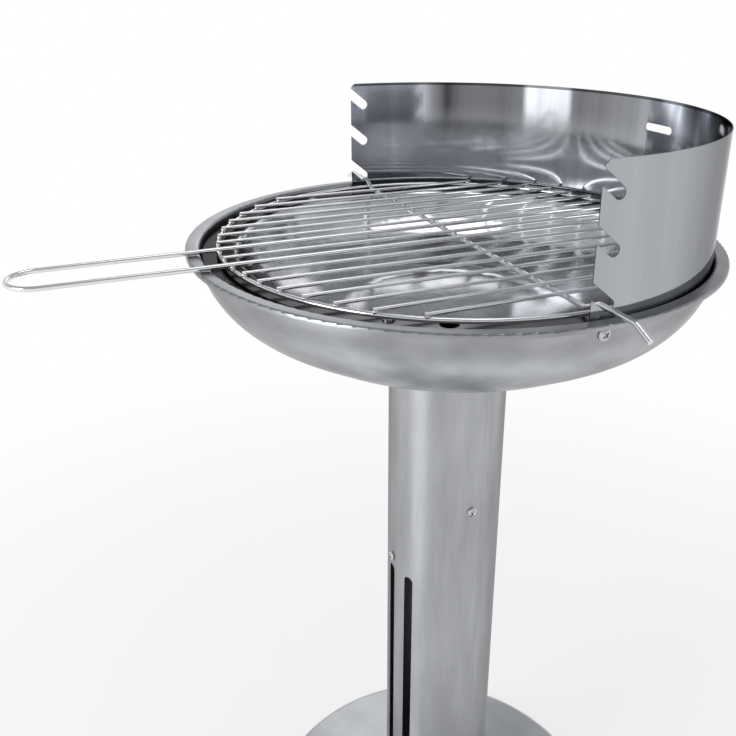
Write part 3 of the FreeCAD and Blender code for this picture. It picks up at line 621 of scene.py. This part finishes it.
def build_weld_tree():
    """A bead on every point."""
    tree, given, result = repeating_tree("set_weld_spots", Radius="Float")
    bead = add(tree, "GeometryNodeMeshIcoSphere", Subdivisions=BEAD_SUBDIVISIONS)
    tree.links.new(given.outputs["Radius"], bead.inputs["Radius"])
    vary = add(tree, "FunctionNodeRandomValue", Seed=BEAD_SEED)
    vary.data_type = "FLOAT"
    for socket, size in zip(vary.inputs[2:4], BEAD_SIZES):
        socket.default_value = size
    lay_on_points(tree, given, result, Instance=bead.outputs["Mesh"], Scale=vary.outputs[1])
    return tree


weld_tree = build_weld_tree()
print("weld tree nodes:", len(weld_tree.nodes))

# %% Set the weld spots
BEAD_RADIUS = 0.0022

weld_places = []
for low, high in bar_boxes:
    x = (low.x + high.x) / 2
    y = math.sqrt(ring_radius ** 2 - x ** 2)
    weld_places += [(x, y, ring_high.z), (x, -y, ring_high.z)]
leg_y = math.sqrt((ring_high.x - handle_radius) ** 2 - leg ** 2)
weld_places += [(side * leg, end * leg_y, ring_high.z) for side in (-1, 1) for end in (-1, 1)]
weld_points = points_object("grid_weld_points", weld_places)
grid_welds = grown(weld_points, weld_tree, "grid_weld_spots", radius=BEAD_RADIUS,
                   material=chrome_wire)
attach(grid_welds, body_of_node["grid_ring"])
print("weld spots:", len(weld_places))

# %% [markdown]
# ## Screws with a cross recess
#
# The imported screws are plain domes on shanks. The real ones are pan heads with a cross recess.
# One head is turned from its half section, a tapered cross is cut out of it, and a tree sets it
# on every place of a node, looking outwards.

# %% One screw
SCREW_RADIUS = 0.0025
HEAD_RADIUS = 0.0046
HEAD_HEIGHT = 0.0029
HEAD_EDGE_SHARE = 0.4
HEAD_STEPS = 6
RECESS_REACH = 0.0033
RECESS_TAPER = 0.45
RECESS_WIDTH = 0.0015
RECESS_DEPTH = 0.0021
CUTTER_RISE = 0.001
TURNING_STEPS = 32
TURNING_MERGE = 1e-7
SCREW_SHARP_ANGLE = 35


def as_object(shape, name):
    """Keep a bmesh as an object."""
    mesh = bpy.data.meshes.new(name)
    shape.to_mesh(mesh)
    shape.free()
    return collected(mesh, name)


def turned(name, section):
    """A closed shape turned round Z from points of (radius, height)."""
    shape = bmesh.new()
    line = [shape.verts.new((radius, 0, height)) for radius, height in section]
    edges = [shape.edges.new(pair) for pair in zip(line, line[1:])]
    bmesh.ops.spin(shape, geom=line + edges, cent=(0, 0, 0), axis=(0, 0, 1),
                   angle=2 * math.pi, steps=TURNING_STEPS, use_merge=True)
    bmesh.ops.remove_doubles(shape, verts=shape.verts, dist=TURNING_MERGE)
    bmesh.ops.recalc_face_normals(shape, faces=shape.faces)
    return as_object(shape, name)


def cross_cutter(top):
    """A tapered cross that reaches down into the head."""
    shape = bmesh.new()
    for turn in (0, 90):
        made = bmesh.ops.create_cube(shape, size=1)
        for vertex in made["verts"]:
            above = vertex.co.z > 0
            reach = RECESS_REACH if above else RECESS_REACH * RECESS_TAPER
            z = top + CUTTER_RISE if above else top - RECESS_DEPTH
            vertex.co = Vector((vertex.co.x * 2 * reach, vertex.co.y * RECESS_WIDTH, z))
        bmesh.ops.rotate(shape, verts=made["verts"], cent=(0, 0, 0),
                         matrix=Matrix.Rotation(math.radians(turn), 3, "Z"))
    return as_object(shape, "cross_cutter")


def screw(name, shank):
    """A pan head screw that stands on z = 0, its shank below."""
    edge = HEAD_HEIGHT * HEAD_EDGE_SHARE
    dome = HEAD_HEIGHT - edge
    crown = (HEAD_RADIUS ** 2 + dome ** 2) / (2 * dome)
    section = [(0, -shank), (SCREW_RADIUS, -shank), (SCREW_RADIUS, 0), (HEAD_RADIUS, 0)]
    limit = math.asin(HEAD_RADIUS / crown)
    for step in range(HEAD_STEPS + 1):
        angle = limit * (1 - step / HEAD_STEPS)
        section.append((crown * math.sin(angle), HEAD_HEIGHT - crown * (1 - math.cos(angle))))
    blank = turned(name, section)
    cutter = cross_cutter(HEAD_HEIGHT)
    cut = blank.modifiers.new("recess", "BOOLEAN")
    cut.operation = "DIFFERENCE"
    cut.object = cutter
    cut.use_self = True
    made = as_plain_mesh(blank, name)
    bpy.data.objects.remove(cutter)
    smooth(made.data, SCREW_SHARP_ANGLE)
    return made


print("screw heads", HEAD_RADIUS * 2000, "mm across,", HEAD_HEIGHT * 1000, "mm high")

# %% [markdown]
# ## Nuts with chamfered corners
#
# A nut is a hexagon whose corners are turned off at both faces. Cutting a cone into the packed
# hexagon would need its own solid, so the nut is drawn ring by ring: each of its rings has the
# hexagon's outline, pulled in towards a circle at the two faces.

# %% One nut
NUT_BORE = 0.00252
NUT_STEPS = 24
NUT_CHAMFER_SHARE = 0.6
NUT_SHARP_ANGLE = 20


def nut(name, height):
    """A hexagon nut on z = 0, as wide as a screw head, with an open bore."""
    flat = HEAD_RADIUS * math.cos(math.pi / 6)
    chamfer = (HEAD_RADIUS - flat) * NUT_CHAMFER_SHARE
    angles = [2 * math.pi * step / NUT_STEPS for step in range(NUT_STEPS)]
    hexagon = [flat / math.cos(angle % (math.pi / 3) - math.pi / 6) for angle in angles]
    shape = bmesh.new()

    def ring(z, limit):
        return [shape.verts.new((min(side, limit) * math.cos(angle),
                                 min(side, limit) * math.sin(angle), z))
                for angle, side in zip(angles, hexagon)]

    rings = [ring(0, NUT_BORE), ring(0, flat), ring(chamfer, HEAD_RADIUS),
             ring(height - chamfer, HEAD_RADIUS), ring(height, flat), ring(height, NUT_BORE)]
    for first, second in zip(rings, rings[1:] + rings[:1]):
        for step in range(NUT_STEPS):
            following = (step + 1) % NUT_STEPS
            shape.faces.new((first[step], first[following], second[following], second[step]))
    bmesh.ops.recalc_face_normals(shape, faces=shape.faces)
    made = as_object(shape, name)
    smooth(made.data, NUT_SHARP_ANGLE)
    return made


print("nuts", HEAD_RADIUS * 2000, "mm over the corners")

# %% [markdown]
# ## Fasteners in their places
#
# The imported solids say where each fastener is. Its thin direction is its axis: a screw in the
# column or the bowl's side lies level and points away from the middle line, a nut there points
# towards it, and the others stand upright. The tree turns each fastener to look along its axis
# and then rolls it a little, because nobody stops every screw at the same angle.


# %% The tree that sets fasteners
def build_fastener_tree():
    """A fastener on every point, turned to look outward and rolled."""
    tree, given, result = repeating_tree("set_fasteners", Fastener="Object")
    face = add(tree, "FunctionNodeAlignRotationToVector")
    face.axis = "Z"
    around_axis = add(tree, "FunctionNodeAxisAngleToRotation", Axis=(0, 0, 1))
    spin = add(tree, "FunctionNodeRotateRotation")
    spin.rotation_space = "LOCAL"
    one = add(tree, "GeometryNodeObjectInfo")
    connect(tree,
            (given.outputs["Fastener"], one.inputs["Object"]),
            (stored(tree, "outward", "FLOAT_VECTOR"), face.inputs["Vector"]),
            (stored(tree, "roll", "FLOAT"), around_axis.inputs["Angle"]),
            (face.outputs["Rotation"], spin.inputs["Rotation"]),
            (around_axis.outputs["Rotation"], spin.inputs["Rotate By"]))
    lay_on_points(tree, given, result, Instance=one.outputs["Geometry"],
                  Rotation=spin.outputs["Rotation"])
    return tree


fastener_tree = build_fastener_tree()
print("fastener tree nodes:", len(fastener_tree.nodes))

# %% Set the fasteners
SCREW_NODES = ["seam_screws", "hoop_screws", "shield_screws", "bowl_screws", "bracket_screws",
               "base_screws"]
NUT_NODES = ["seam_nuts", "hoop_nuts", "shield_nuts", "base_nuts", "bowl_nuts", "bracket_nuts"]
LOOKING_UP = ["bowl_screws", "bracket_screws", "base_nuts"]
LOOKING_DOWN = ["base_screws", "bowl_nuts", "bracket_nuts"]
SCREW_ROLLS = (0.35, 1.1, 0.7, 0.1)
NUT_ROLLS = (0.0,)
zinc = bpy.data.materials.new("bright_zinc")


def looking(node, middle):
    """The way that a node's fastener looks at a place."""
    if node in LOOKING_UP:
        return Vector((0, 0, 1))
    if node in LOOKING_DOWN:
        return Vector((0, 0, -1))
    outward = Vector((middle.x, middle.y, 0)).normalized()
    return -outward if node in NUT_NODES else outward


def fasteners(node):
    """Detailed fasteners in the place of a node's solids."""
    boxes = solid_boxes(node)
    middles = [(low + high) / 2 for low, high in boxes]
    ways = [looking(node, middle) for middle in middles]
    low, high = boxes[0]
    length = abs((high - low).dot(Vector(map(abs, ways[0]))))
    if node in NUT_NODES:
        one = nut(node + "_one", length)
        seats = [middle - way * length / 2 for middle, way in zip(middles, ways)]
        rolls = NUT_ROLLS
    else:
        one = screw(node + "_one", length - HEAD_HEIGHT)
        seats = [middle + way * (length / 2 - HEAD_HEIGHT) for middle, way in zip(middles, ways)]
        rolls = SCREW_ROLLS
    turns = [rolls[index % len(rolls)] for index in range(len(seats))]
    points = points_object(node + "_points", seats, outward=ways, roll=turns)
    made = grown(points, fastener_tree, node + "_detailed", fastener=one, material=zinc)
    bpy.data.objects.remove(one)
    return finish_piece(made, node)


hardware = [fasteners(node) for node in SCREW_NODES + NUT_NODES]
print("fastener pieces:", [(o.name, len(o.data.polygons)) for o in hardware])

# %% [markdown]
# ## Coordinates that go round the axis
#
# Spinning, rolling and brushing leave marks that run round the barbecue's axis. A pattern needs
# the direction round the axis, the distance from it and the height. The direction is kept as a
# point on a circle and not as an angle, so that the pattern has no seam. This is a node group,
# because every steel finish uses it.

# %% The group for round coordinates
AXIS_GUARD = 0.0001


def build_round_group():
    """A group that turns a place into a direction, an azimuth and a distance."""
    tree, given, result = node_group(
        "round_the_axis", "ShaderNodeTree",
        {"Place": "Vector", "Round": "Float", "Across": "Float"},
        {"Vector": "Vector", "Azimuth": "Float", "Radius": "Float"})
    split = add(tree, "ShaderNodeSeparateXYZ")
    tree.links.new(given.outputs["Place"], split.inputs[0])
    x, y, z = split.outputs
    squares = [math_node(tree, "MULTIPLY", side, side) for side in (x, y)]
    radius = math_node(tree, "SQRT", math_node(tree, "ADD", *squares))
    safe = math_node(tree, "MAXIMUM", radius, AXIS_GUARD)
    parts = [(math_node(tree, "DIVIDE", x, safe), "Round"),
             (math_node(tree, "DIVIDE", y, safe), "Round"),
             (math_node(tree, "ADD", z, radius), "Across")]
    join = add(tree, "ShaderNodeCombineXYZ")
    for socket, (part, scale) in zip(join.inputs, parts):
        tree.links.new(math_node(tree, "MULTIPLY", part, given.outputs[scale]), socket)
    connect(tree,
            (join.outputs[0], result.inputs["Vector"]),
            (math_node(tree, "ARCTAN2", y, x), result.inputs["Azimuth"]),
            (radius, result.inputs["Radius"]))
    return tree


round_group = build_round_group()
print("round group nodes:", len(round_group.nodes))

# %% [markdown]
# ## The steel itself
#
# One group makes what all the sheet steel shares. Fine marks come from noise that is stretched
# along the marks. Clouds come from wide noise: they are where the sheet was handled and where
# the polish is uneven. The group gives back a tone to multiply the colour with, a roughness and
# a height for the bump.


# %% The group for worked steel
def noise(tree, place, scale=1.0, detail=3.0, roughness=0.5):
    """A noise pattern from 0 to 1 at a place."""
    node = add(tree, "ShaderNodeTexNoise", Scale=scale, Detail=detail, Roughness=roughness)
    tree.links.new(place, node.inputs["Vector"])
    return node.outputs["Fac"]


def centred(tree, source, depth):
    """Turn a 0 to 1 pattern into a swing of a given depth around zero."""
    return math_node(tree, "MULTIPLY", math_node(tree, "SUBTRACT", source, 0.5), depth)


def build_steel_group():
    """A group that turns the places of marks and clouds into tone, roughness and height."""
    tree, given, result = node_group(
        "worked_steel", "ShaderNodeTree",
        {"Marks": "Vector", "Clouds": "Vector", "Mark Depth": "Float", "Cloud Depth": "Float",
         "Roughness": "Float", "Roughness Swing": "Float"},
        {"Tone": "Float", "Roughness": "Float", "Height": "Float"})
    fine = noise(tree, given.outputs["Marks"], detail=4.0, roughness=0.6)
    wide = noise(tree, given.outputs["Clouds"])
    marks = centred(tree, fine, given.outputs["Mark Depth"])
    clouds = centred(tree, wide, given.outputs["Cloud Depth"])
    swing = centred(tree, wide, given.outputs["Roughness Swing"])
    tone = math_node(tree, "ADD", 1.0, math_node(tree, "ADD", marks, clouds))
    roughness = math_node(tree, "ADD", given.outputs["Roughness"], swing)
    connect(tree,
            (tone, result.inputs["Tone"]),
            (roughness, result.inputs["Roughness"]),
            (fine, result.inputs["Height"]))
    return tree


steel_group = build_steel_group()
print("steel group nodes:", len(steel_group.nodes))

# %% [markdown]
# A metal's surface is then the same few links each time: the group's tone scales the colour, its
# roughness goes to the shader and its height through a bump to the normal. What is the same all
# over a finish, such as its anisotropy, is set on the shader itself.

# %% A surface from the groups
ACROSS_THE_MARKS = 0.25
STEEL_RELIEF = (0.02, 0.001)


def add_group(tree, group, **values):
    """A group node with some of its inputs set by name."""
    node = add(tree, "ShaderNodeGroup")
    node.node_tree = group
    for name, value in values.items():
        node.inputs[name.replace("_", " ")].default_value = value
    return node


def round_the_axis(tree, marks_round, marks_across):
    """The round coordinates of the shaded point, for so many marks each way."""
    node = add_group(tree, round_group, Round=marks_round, Across=marks_across)
    tree.links.new(own_place(tree), node.inputs["Place"])
    return node


def worked_surface(tree, marks, clouds, colour, depths, roughness, swing, relief, tone=None,
                   **values):
    """A metal surface from the places of its marks and clouds, and a tone of its own."""
    work = add_group(tree, steel_group, Mark_Depth=depths[0], Cloud_Depth=depths[1],
                     Roughness=roughness, Roughness_Swing=swing)
    tint = add(tree, "ShaderNodeVectorMath", "SCALE")
    tint.inputs[0].default_value = colour
    bump = add(tree, "ShaderNodeBump", Strength=relief[0], Distance=relief[1])
    surface = add(tree, "ShaderNodeBsdfPrincipled", Metallic=1.0, **values)
    out = add(tree, "ShaderNodeOutputMaterial")
    all_tones = work.outputs["Tone"]
    if tone is not None:
        all_tones = math_node(tree, "MULTIPLY", all_tones, tone)
    connect(tree,
            (marks, work.inputs["Marks"]),
            (clouds, work.inputs["Clouds"]),
            (all_tones, tint.inputs["Scale"]),
            (tint.outputs[0], surface.inputs["Base Color"]),
            (work.outputs["Roughness"], surface.inputs["Roughness"]),
            (work.outputs["Height"], bump.inputs["Height"]),
            (bump.outputs["Normal"], surface.inputs["Normal"]),
            (surface.outputs[0], out.inputs["Surface"]))


def steel(name, colour, roughness, marks, clouds, mark_depth=0.12, cloud_depth=0.2, swing=0.08,
          anisotropy=0.0, edge=0.7, own_tone=None):
    """A worked steel: marks and clouds say how many there are round the axis and across."""
    material = new_material(name)
    tree = material.node_tree
    fine, wide = round_the_axis(tree, *marks), round_the_axis(tree, *clouds)
    tone = own_tone(tree, wide.outputs["Azimuth"], wide.outputs["Radius"]) if own_tone else None
    worked_surface(tree, fine.outputs["Vector"], wide.outputs["Vector"], colour,
                   (mark_depth, cloud_depth), roughness, swing, STEEL_RELIEF, tone,
                   Anisotropic=anisotropy, Anisotropic_Rotation=ACROSS_THE_MARKS,
                   Specular_Tint=(edge, edge, edge, 1))
    return material


print("relief of the steels:", STEEL_RELIEF[1] * 1000, "mm at strength", STEEL_RELIEF[0])

# %% [markdown]
# Each sheet needs a tone of its own on top, and much of it is painted light and shade. The
# windshield's inner face carries painted reflections: darker in its middle and near its top,
# brighter at its ends and low down, with upright streaks, and it has upright bands from the
# rolls. Its cut edges and a band along its top edge are darker. The fire bowl's shelf is painted
# dark as shade, lighter at its front, and a patch of its floor is painted darker over a lamp's
# reflection. The outer bowl is painted lighter low on its side, with one brighter spot, and it
# has a band of painted shade below its lip. On the column, painted shade lies in the corner
# where the sheet laps over itself.

# %% Tones of the windshield
# The end, middle and low tones and the streaks are painted reflections on the inner face.
SHIELD_END_PAINTED_REFLECTION = 1.35
SHIELD_MIDDLE_PAINTED_REFLECTION = 0.42
SHIELD_MIDDLE = (70, 118, 158, 166)
SHIELD_LOW_PAINTED_REFLECTION = 1.1
SHIELD_RISE = (0.030, 0.085)
SHIELD_BANDS = 7
SHIELD_BAND_DEPTH = 0.4
SHIELD_PAINTED_REFLECTION_STREAKS = ((66, 9, 2.2), (76, 3, 0.6), (82, 4, 1.9), (88, 4, 0.5), (154.5, 3.5, 0.4),
                  (161, 5, 1.6))
# This tone makes the cut edges and a band along the top edge darker.
CUT_EDGE_TONE = 0.3
CUT_EDGE_FACING = 0.5
TOP_EDGE_BAND = 0.0026
SHEET_MARGIN = 0.0004


def between(tree, share, first, second):
    """Go from a first tone to a second one by a share from 0 to 1."""
    change = math_node(tree, "SUBTRACT", second, first)
    return math_node(tree, "ADD", math_node(tree, "MULTIPLY", change, share), first)


def height(tree):
    """The height of the shaded point."""
    split = add(tree, "ShaderNodeSeparateXYZ")
    tree.links.new(own_place(tree), split.inputs[0])
    return split.outputs["Z"]


def roll_bands(tree):
    """Upright bands round the sheet, as a swing around zero."""
    place = round_the_axis(tree, SHIELD_BANDS, 0).outputs["Vector"]
    return centred(tree, noise(tree, place, roughness=0.7), SHIELD_BAND_DEPTH)


def streaks(tree, azimuth, rows):
    """Upright streaks: each row gives an azimuth, a half width in degrees and a tone."""
    product = 1.0
    for middle, half_width, tone in rows:
        away = math_node(tree, "ABSOLUTE",
                         math_node(tree, "SUBTRACT", azimuth, math.radians(middle)))
        streak = slope(tree, away, 0, math.radians(half_width), tone, 1)
        product = math_node(tree, "MULTIPLY", product, streak)
    return product


def facing_outward(tree):
    """How far a face looks away from the axis or towards it: 1 on the sheet, 0 on a cut edge."""
    level = add(tree, "ShaderNodeVectorMath", "MULTIPLY")
    level.inputs[1].default_value = (1, 1, 0)
    outward = add(tree, "ShaderNodeVectorMath", "NORMALIZE")
    along = add(tree, "ShaderNodeVectorMath", "DOT_PRODUCT")
    surface = add(tree, "ShaderNodeNewGeometry")
    connect(tree,
            (own_place(tree), level.inputs[0]),
            (level.outputs[0], outward.inputs[0]),
            (outward.outputs[0], along.inputs[0]),
            (surface.outputs["True Normal"], along.inputs[1]))
    return math_node(tree, "ABSOLUTE", along.outputs["Value"])


def shield_tone(tree, azimuth, radius):
    """Painted reflections and upright bands on the inner face, and a darker top edge band and cut
    edges.
    """
    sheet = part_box("windshield")[1]
    enter, inside_start, inside_stop, leave = map(math.radians, SHIELD_MIDDLE)
    first = slope(tree, azimuth, enter, inside_start, SHIELD_END_PAINTED_REFLECTION, SHIELD_MIDDLE_PAINTED_REFLECTION)
    last = slope(tree, azimuth, inside_stop, leave, 0, SHIELD_END_PAINTED_REFLECTION - SHIELD_MIDDLE_PAINTED_REFLECTION)
    # The tone by azimuth and its streaks are a painted reflection.
    painted_reflection = math_node(tree, "MULTIPLY", math_node(tree, "ADD", first, last),
                      streaks(tree, azimuth, SHIELD_PAINTED_REFLECTION_STREAKS))
    low, high = (RIM_HEIGHT + rise for rise in SHIELD_RISE)
    face = between(tree, slope(tree, height(tree), low, high, 0, 1), SHIELD_LOW_PAINTED_REFLECTION, painted_reflection)
    face = math_node(tree, "ADD", face, roll_bands(tree))
    # The band along the top edge and the cut edges are drawn darker.
    top_band = math_node(tree, "GREATER_THAN", height(tree), sheet.z - TOP_EDGE_BAND)
    face = math_node(tree, "MULTIPLY", face, between(tree, top_band, 1.0, CUT_EDGE_TONE))
    inside = math_node(tree, "LESS_THAN", radius, sheet.x - SHEET_MARGIN)
    cut = math_node(tree, "LESS_THAN", facing_outward(tree), CUT_EDGE_FACING)
    return math_node(tree, "MULTIPLY", between(tree, inside, 1.0, face),
                     between(tree, cut, 1.0, CUT_EDGE_TONE))


print("streaks on the windshield:", len(SHIELD_PAINTED_REFLECTION_STREAKS))

# %% Tones of the bowls and the column
# The shelf's tone is painted shade, and its front gets painted light.
SHELF_PAINTED_SHADE = 0.1
SHELF_START = (0.184, 0.187)
SHELF_FRONT_PAINTED_LIGHT = ((-20, 75, 2.6),)
# A patch of the fire bowl's floor is painted darker, as shade over a lamp's reflection.
FIRE_FLOOR_PAINTED_SHADE = ((36, 50, 0.42),)
FIRE_FLOOR_SHADE_START = (0.03, 0.075)
# The low tone and the spot are painted light on the outer bowl.
BOWL_LOW_PAINTED_LIGHT = 1.05
BOWL_LOW = (0.188, 0.214)
BOWL_PAINTED_LIGHT_SPOT = ((-27, 16, 1.9),)
# The side tones paint shade in a band below the lip, against a lighter side.
BOWL_SIDE_PAINTED_SHADE = (1.2, 0.85)
BOWL_SIDE_DROPS = (0.036, 0.014)
# The seam tone is painted shade in the corner where the sheet laps over itself.
SEAM_AZIMUTH = math.radians(11)
SEAM_SHADE_WIDTH = math.radians(1.6)
SEAM_SHADE_TONE = 0.3


def fire_bowl_tone(tree, azimuth, radius):
    """Painted shade on the fire bowl's shelf, lighter at its front, and on a patch of the floor.
    """
    # The floor's patch is painted shade over a lamp's reflection.
    away = slope(tree, radius, *FIRE_FLOOR_SHADE_START, 0, 1)
    floor_part = between(tree, away, 1.0, streaks(tree, azimuth, FIRE_FLOOR_PAINTED_SHADE))
    # The shelf is painted dark as shade, lighter at its front.
    shelf = math_node(tree, "MULTIPLY", streaks(tree, azimuth, SHELF_FRONT_PAINTED_LIGHT), SHELF_PAINTED_SHADE)
    return between(tree, slope(tree, radius, *SHELF_START, 0, 1), floor_part, shelf)


def bowl_tone(tree, azimuth, radius):
    """Painted light low on the outer bowl, with a brighter spot, and painted shade below its lip.
    """
    # Painted light on the low part, brightest at one spot.
    bowl_painted_light = math_node(tree, "MULTIPLY", streaks(tree, azimuth, BOWL_PAINTED_LIGHT_SPOT), BOWL_LOW_PAINTED_LIGHT)
    low_part = between(tree, slope(tree, radius, *BOWL_LOW, 1, 0), 1.0, bowl_painted_light)
    # Painted shade below the lip, lighter further down the side.
    low, high = (RIM_HEIGHT - drop for drop in BOWL_SIDE_DROPS)
    side = slope(tree, height(tree), low, high, *BOWL_SIDE_PAINTED_SHADE)
    return math_node(tree, "MULTIPLY", low_part, side)


def seam_tone(tree, azimuth, radius):
    """Painted shade just past the lapped edge of the column."""
    past = math_node(tree, "SUBTRACT", azimuth, SEAM_AZIMUTH)
    # Painted shade in the corner of the lap.
    dust_and_shade = slope(tree, past, 0, SEAM_SHADE_WIDTH, SEAM_SHADE_TONE, 1)
    return math_node(tree, "MAXIMUM", dust_and_shade, math_node(tree, "LESS_THAN", past, 0.0))


# The printed width is that of the painted shade along the seam.
print("dust along the seam:", round(math.degrees(SEAM_SHADE_WIDTH), 1), "degrees wide")

# %% Mix the steels
BOWL_COLOUR = (0.41, 0.42, 0.435)
FOOT_COLOUR = (0.55, 0.56, 0.575)
COLUMN_COLOUR = (0.44, 0.45, 0.465)
FIRE_BOWL_COLOUR = (0.82, 0.825, 0.835)
SHIELD_COLOUR = (0.40, 0.412, 0.44)
DULL_ZINC_COLOUR = (0.40, 0.41, 0.42)

bowl_steel = steel("spun_bowl_steel", BOWL_COLOUR, roughness=0.3, marks=(3, 900),
                   clouds=(4, 24), cloud_depth=1.1, anisotropy=0.6, own_tone=bowl_tone)
foot_steel = steel("spun_foot_steel", FOOT_COLOUR, roughness=0.3, marks=(3, 900),
                   clouds=(3, 28), cloud_depth=0.6, anisotropy=0.6)
column_steel = steel("rolled_column_steel", COLUMN_COLOUR, roughness=0.34, marks=(160, 6),
                     clouds=(3, 9), swing=0.04, cloud_depth=0.65, anisotropy=0.82,
                     edge=0.5, own_tone=seam_tone)
fire_steel = steel("fire_bowl_steel", FIRE_BOWL_COLOUR, roughness=0.13, marks=(3, 500),
                   clouds=(4, 25), swing=0.06, cloud_depth=0.6, edge=0.4,
                   own_tone=fire_bowl_tone)
shield_steel = steel("rolled_shield_steel", SHIELD_COLOUR, roughness=0.09, marks=(60, 4),
                     clouds=(9, 6), mark_depth=0.06, cloud_depth=0.25, swing=0.04,
                     edge=0.45, own_tone=shield_tone)
dull_zinc = steel("dull_zinc", DULL_ZINC_COLOUR, roughness=0.45, marks=(30, 90),
                  clouds=(14, 60), mark_depth=0.25)
print("steels:", [m.name for m in (bowl_steel, foot_steel, column_steel, fire_steel,
                                   shield_steel, dull_zinc)])

# %% [markdown]
# ## Plated wire, bright zinc and rubber
#
# Plating is smooth with a slightly milky haze where it is thick. The wire's pattern needs no
# direction, so plain noise on the object's own coordinates does. Rubber is nearly black, rough,
# and dusty where it is moulded.

# %% Fill the plated materials
CHROME_COLOUR = (0.77, 0.775, 0.78)
BRIGHT_ZINC_COLOUR = (0.55, 0.555, 0.56)
PLATING_RELIEF = (0.05, 0.0003)
HAZE_SIZE = 12
HAZE_DEPTH = 1.5
PLATING_SWING = 0.6


def scaled_place(tree, scale):
    """The place of the shaded point, scaled alike in all directions."""
    near = add(tree, "ShaderNodeMapping", Scale=(scale, scale, scale))
    tree.links.new(own_place(tree), near.inputs["Vector"])
    return near.outputs["Vector"]


def plated(name, colour, roughness, scale, depth):
    """A plated metal: fine grain at a scale, and a haze that is wider and deeper."""
    tree = new_material(name).node_tree
    worked_surface(tree, scaled_place(tree, scale), scaled_place(tree, scale / HAZE_SIZE),
                   colour, (depth, depth * HAZE_DEPTH), roughness, roughness * PLATING_SWING,
                   PLATING_RELIEF)


plated("chrome_wire", CHROME_COLOUR, roughness=0.17, scale=900, depth=0.12)
plated("bright_zinc", BRIGHT_ZINC_COLOUR, roughness=0.22, scale=1200, depth=0.2)
print("plated:", chrome_wire.name, zinc.name)

# %% Make the rubber
RUBBER_BLACK = (0.018, 0.018, 0.019, 1)
RUBBER_DUST = (0.055, 0.054, 0.052, 1)
DUST_RANGE = (0.35, 0.8)
DUST_SCALE = 35.0
GRAIN_SCALE = 1400.0
RUBBER_ROUGHNESS = (0.55, 0.8)
RUBBER_RELIEF = (0.25, 0.0003)


def rubber(name):
    """Black rubber with dust and a fine grain."""
    material = new_material(name)
    tree = material.node_tree
    dust_and_shade = noise(tree, own_place(tree), scale=DUST_SCALE, detail=4.0)
    colour = ramp(tree, (DUST_RANGE[0], RUBBER_BLACK), (DUST_RANGE[1], RUBBER_DUST))
    rough = add(tree, "ShaderNodeMapRange", To_Min=RUBBER_ROUGHNESS[0],
                To_Max=RUBBER_ROUGHNESS[1])
    bump = add(tree, "ShaderNodeBump", Strength=RUBBER_RELIEF[0], Distance=RUBBER_RELIEF[1])
    surface = add(tree, "ShaderNodeBsdfPrincipled")
    out = add(tree, "ShaderNodeOutputMaterial")
    connect(tree,
            (dust_and_shade, colour.inputs["Fac"]),
            (colour.outputs["Color"], surface.inputs["Base Color"]),
            (dust_and_shade, rough.inputs["Value"]),
            (rough.outputs["Result"], surface.inputs["Roughness"]),
            (noise(tree, own_place(tree), scale=GRAIN_SCALE), bump.inputs["Height"]),
            (bump.outputs["Normal"], surface.inputs["Normal"]),
            (surface.outputs[0], out.inputs["Surface"]))
    return material


black_rubber = rubber("black_rubber")
print("rubber:", black_rubber.name)

# %% Dress the skins
looks = {
    "outer_bowl": bowl_steel, "foot_dish": foot_steel, "column_tube": column_steel,
    "fire_bowl": fire_steel, "windshield": shield_steel, "foot_trim_ring": black_rubber,
    "base_flange": dull_zinc, "top_flange": dull_zinc, "column_hoop": dull_zinc,
    "bowl_washers": zinc, "fire_bowl_brackets": dull_zinc,
}
for node, look in looks.items():
    coat(skins[node], look)
shown_nodes = [name for name, obj in frame["nodes"].items() if not obj.hide_render]
print("nodes still shown as packed:", shown_nodes)
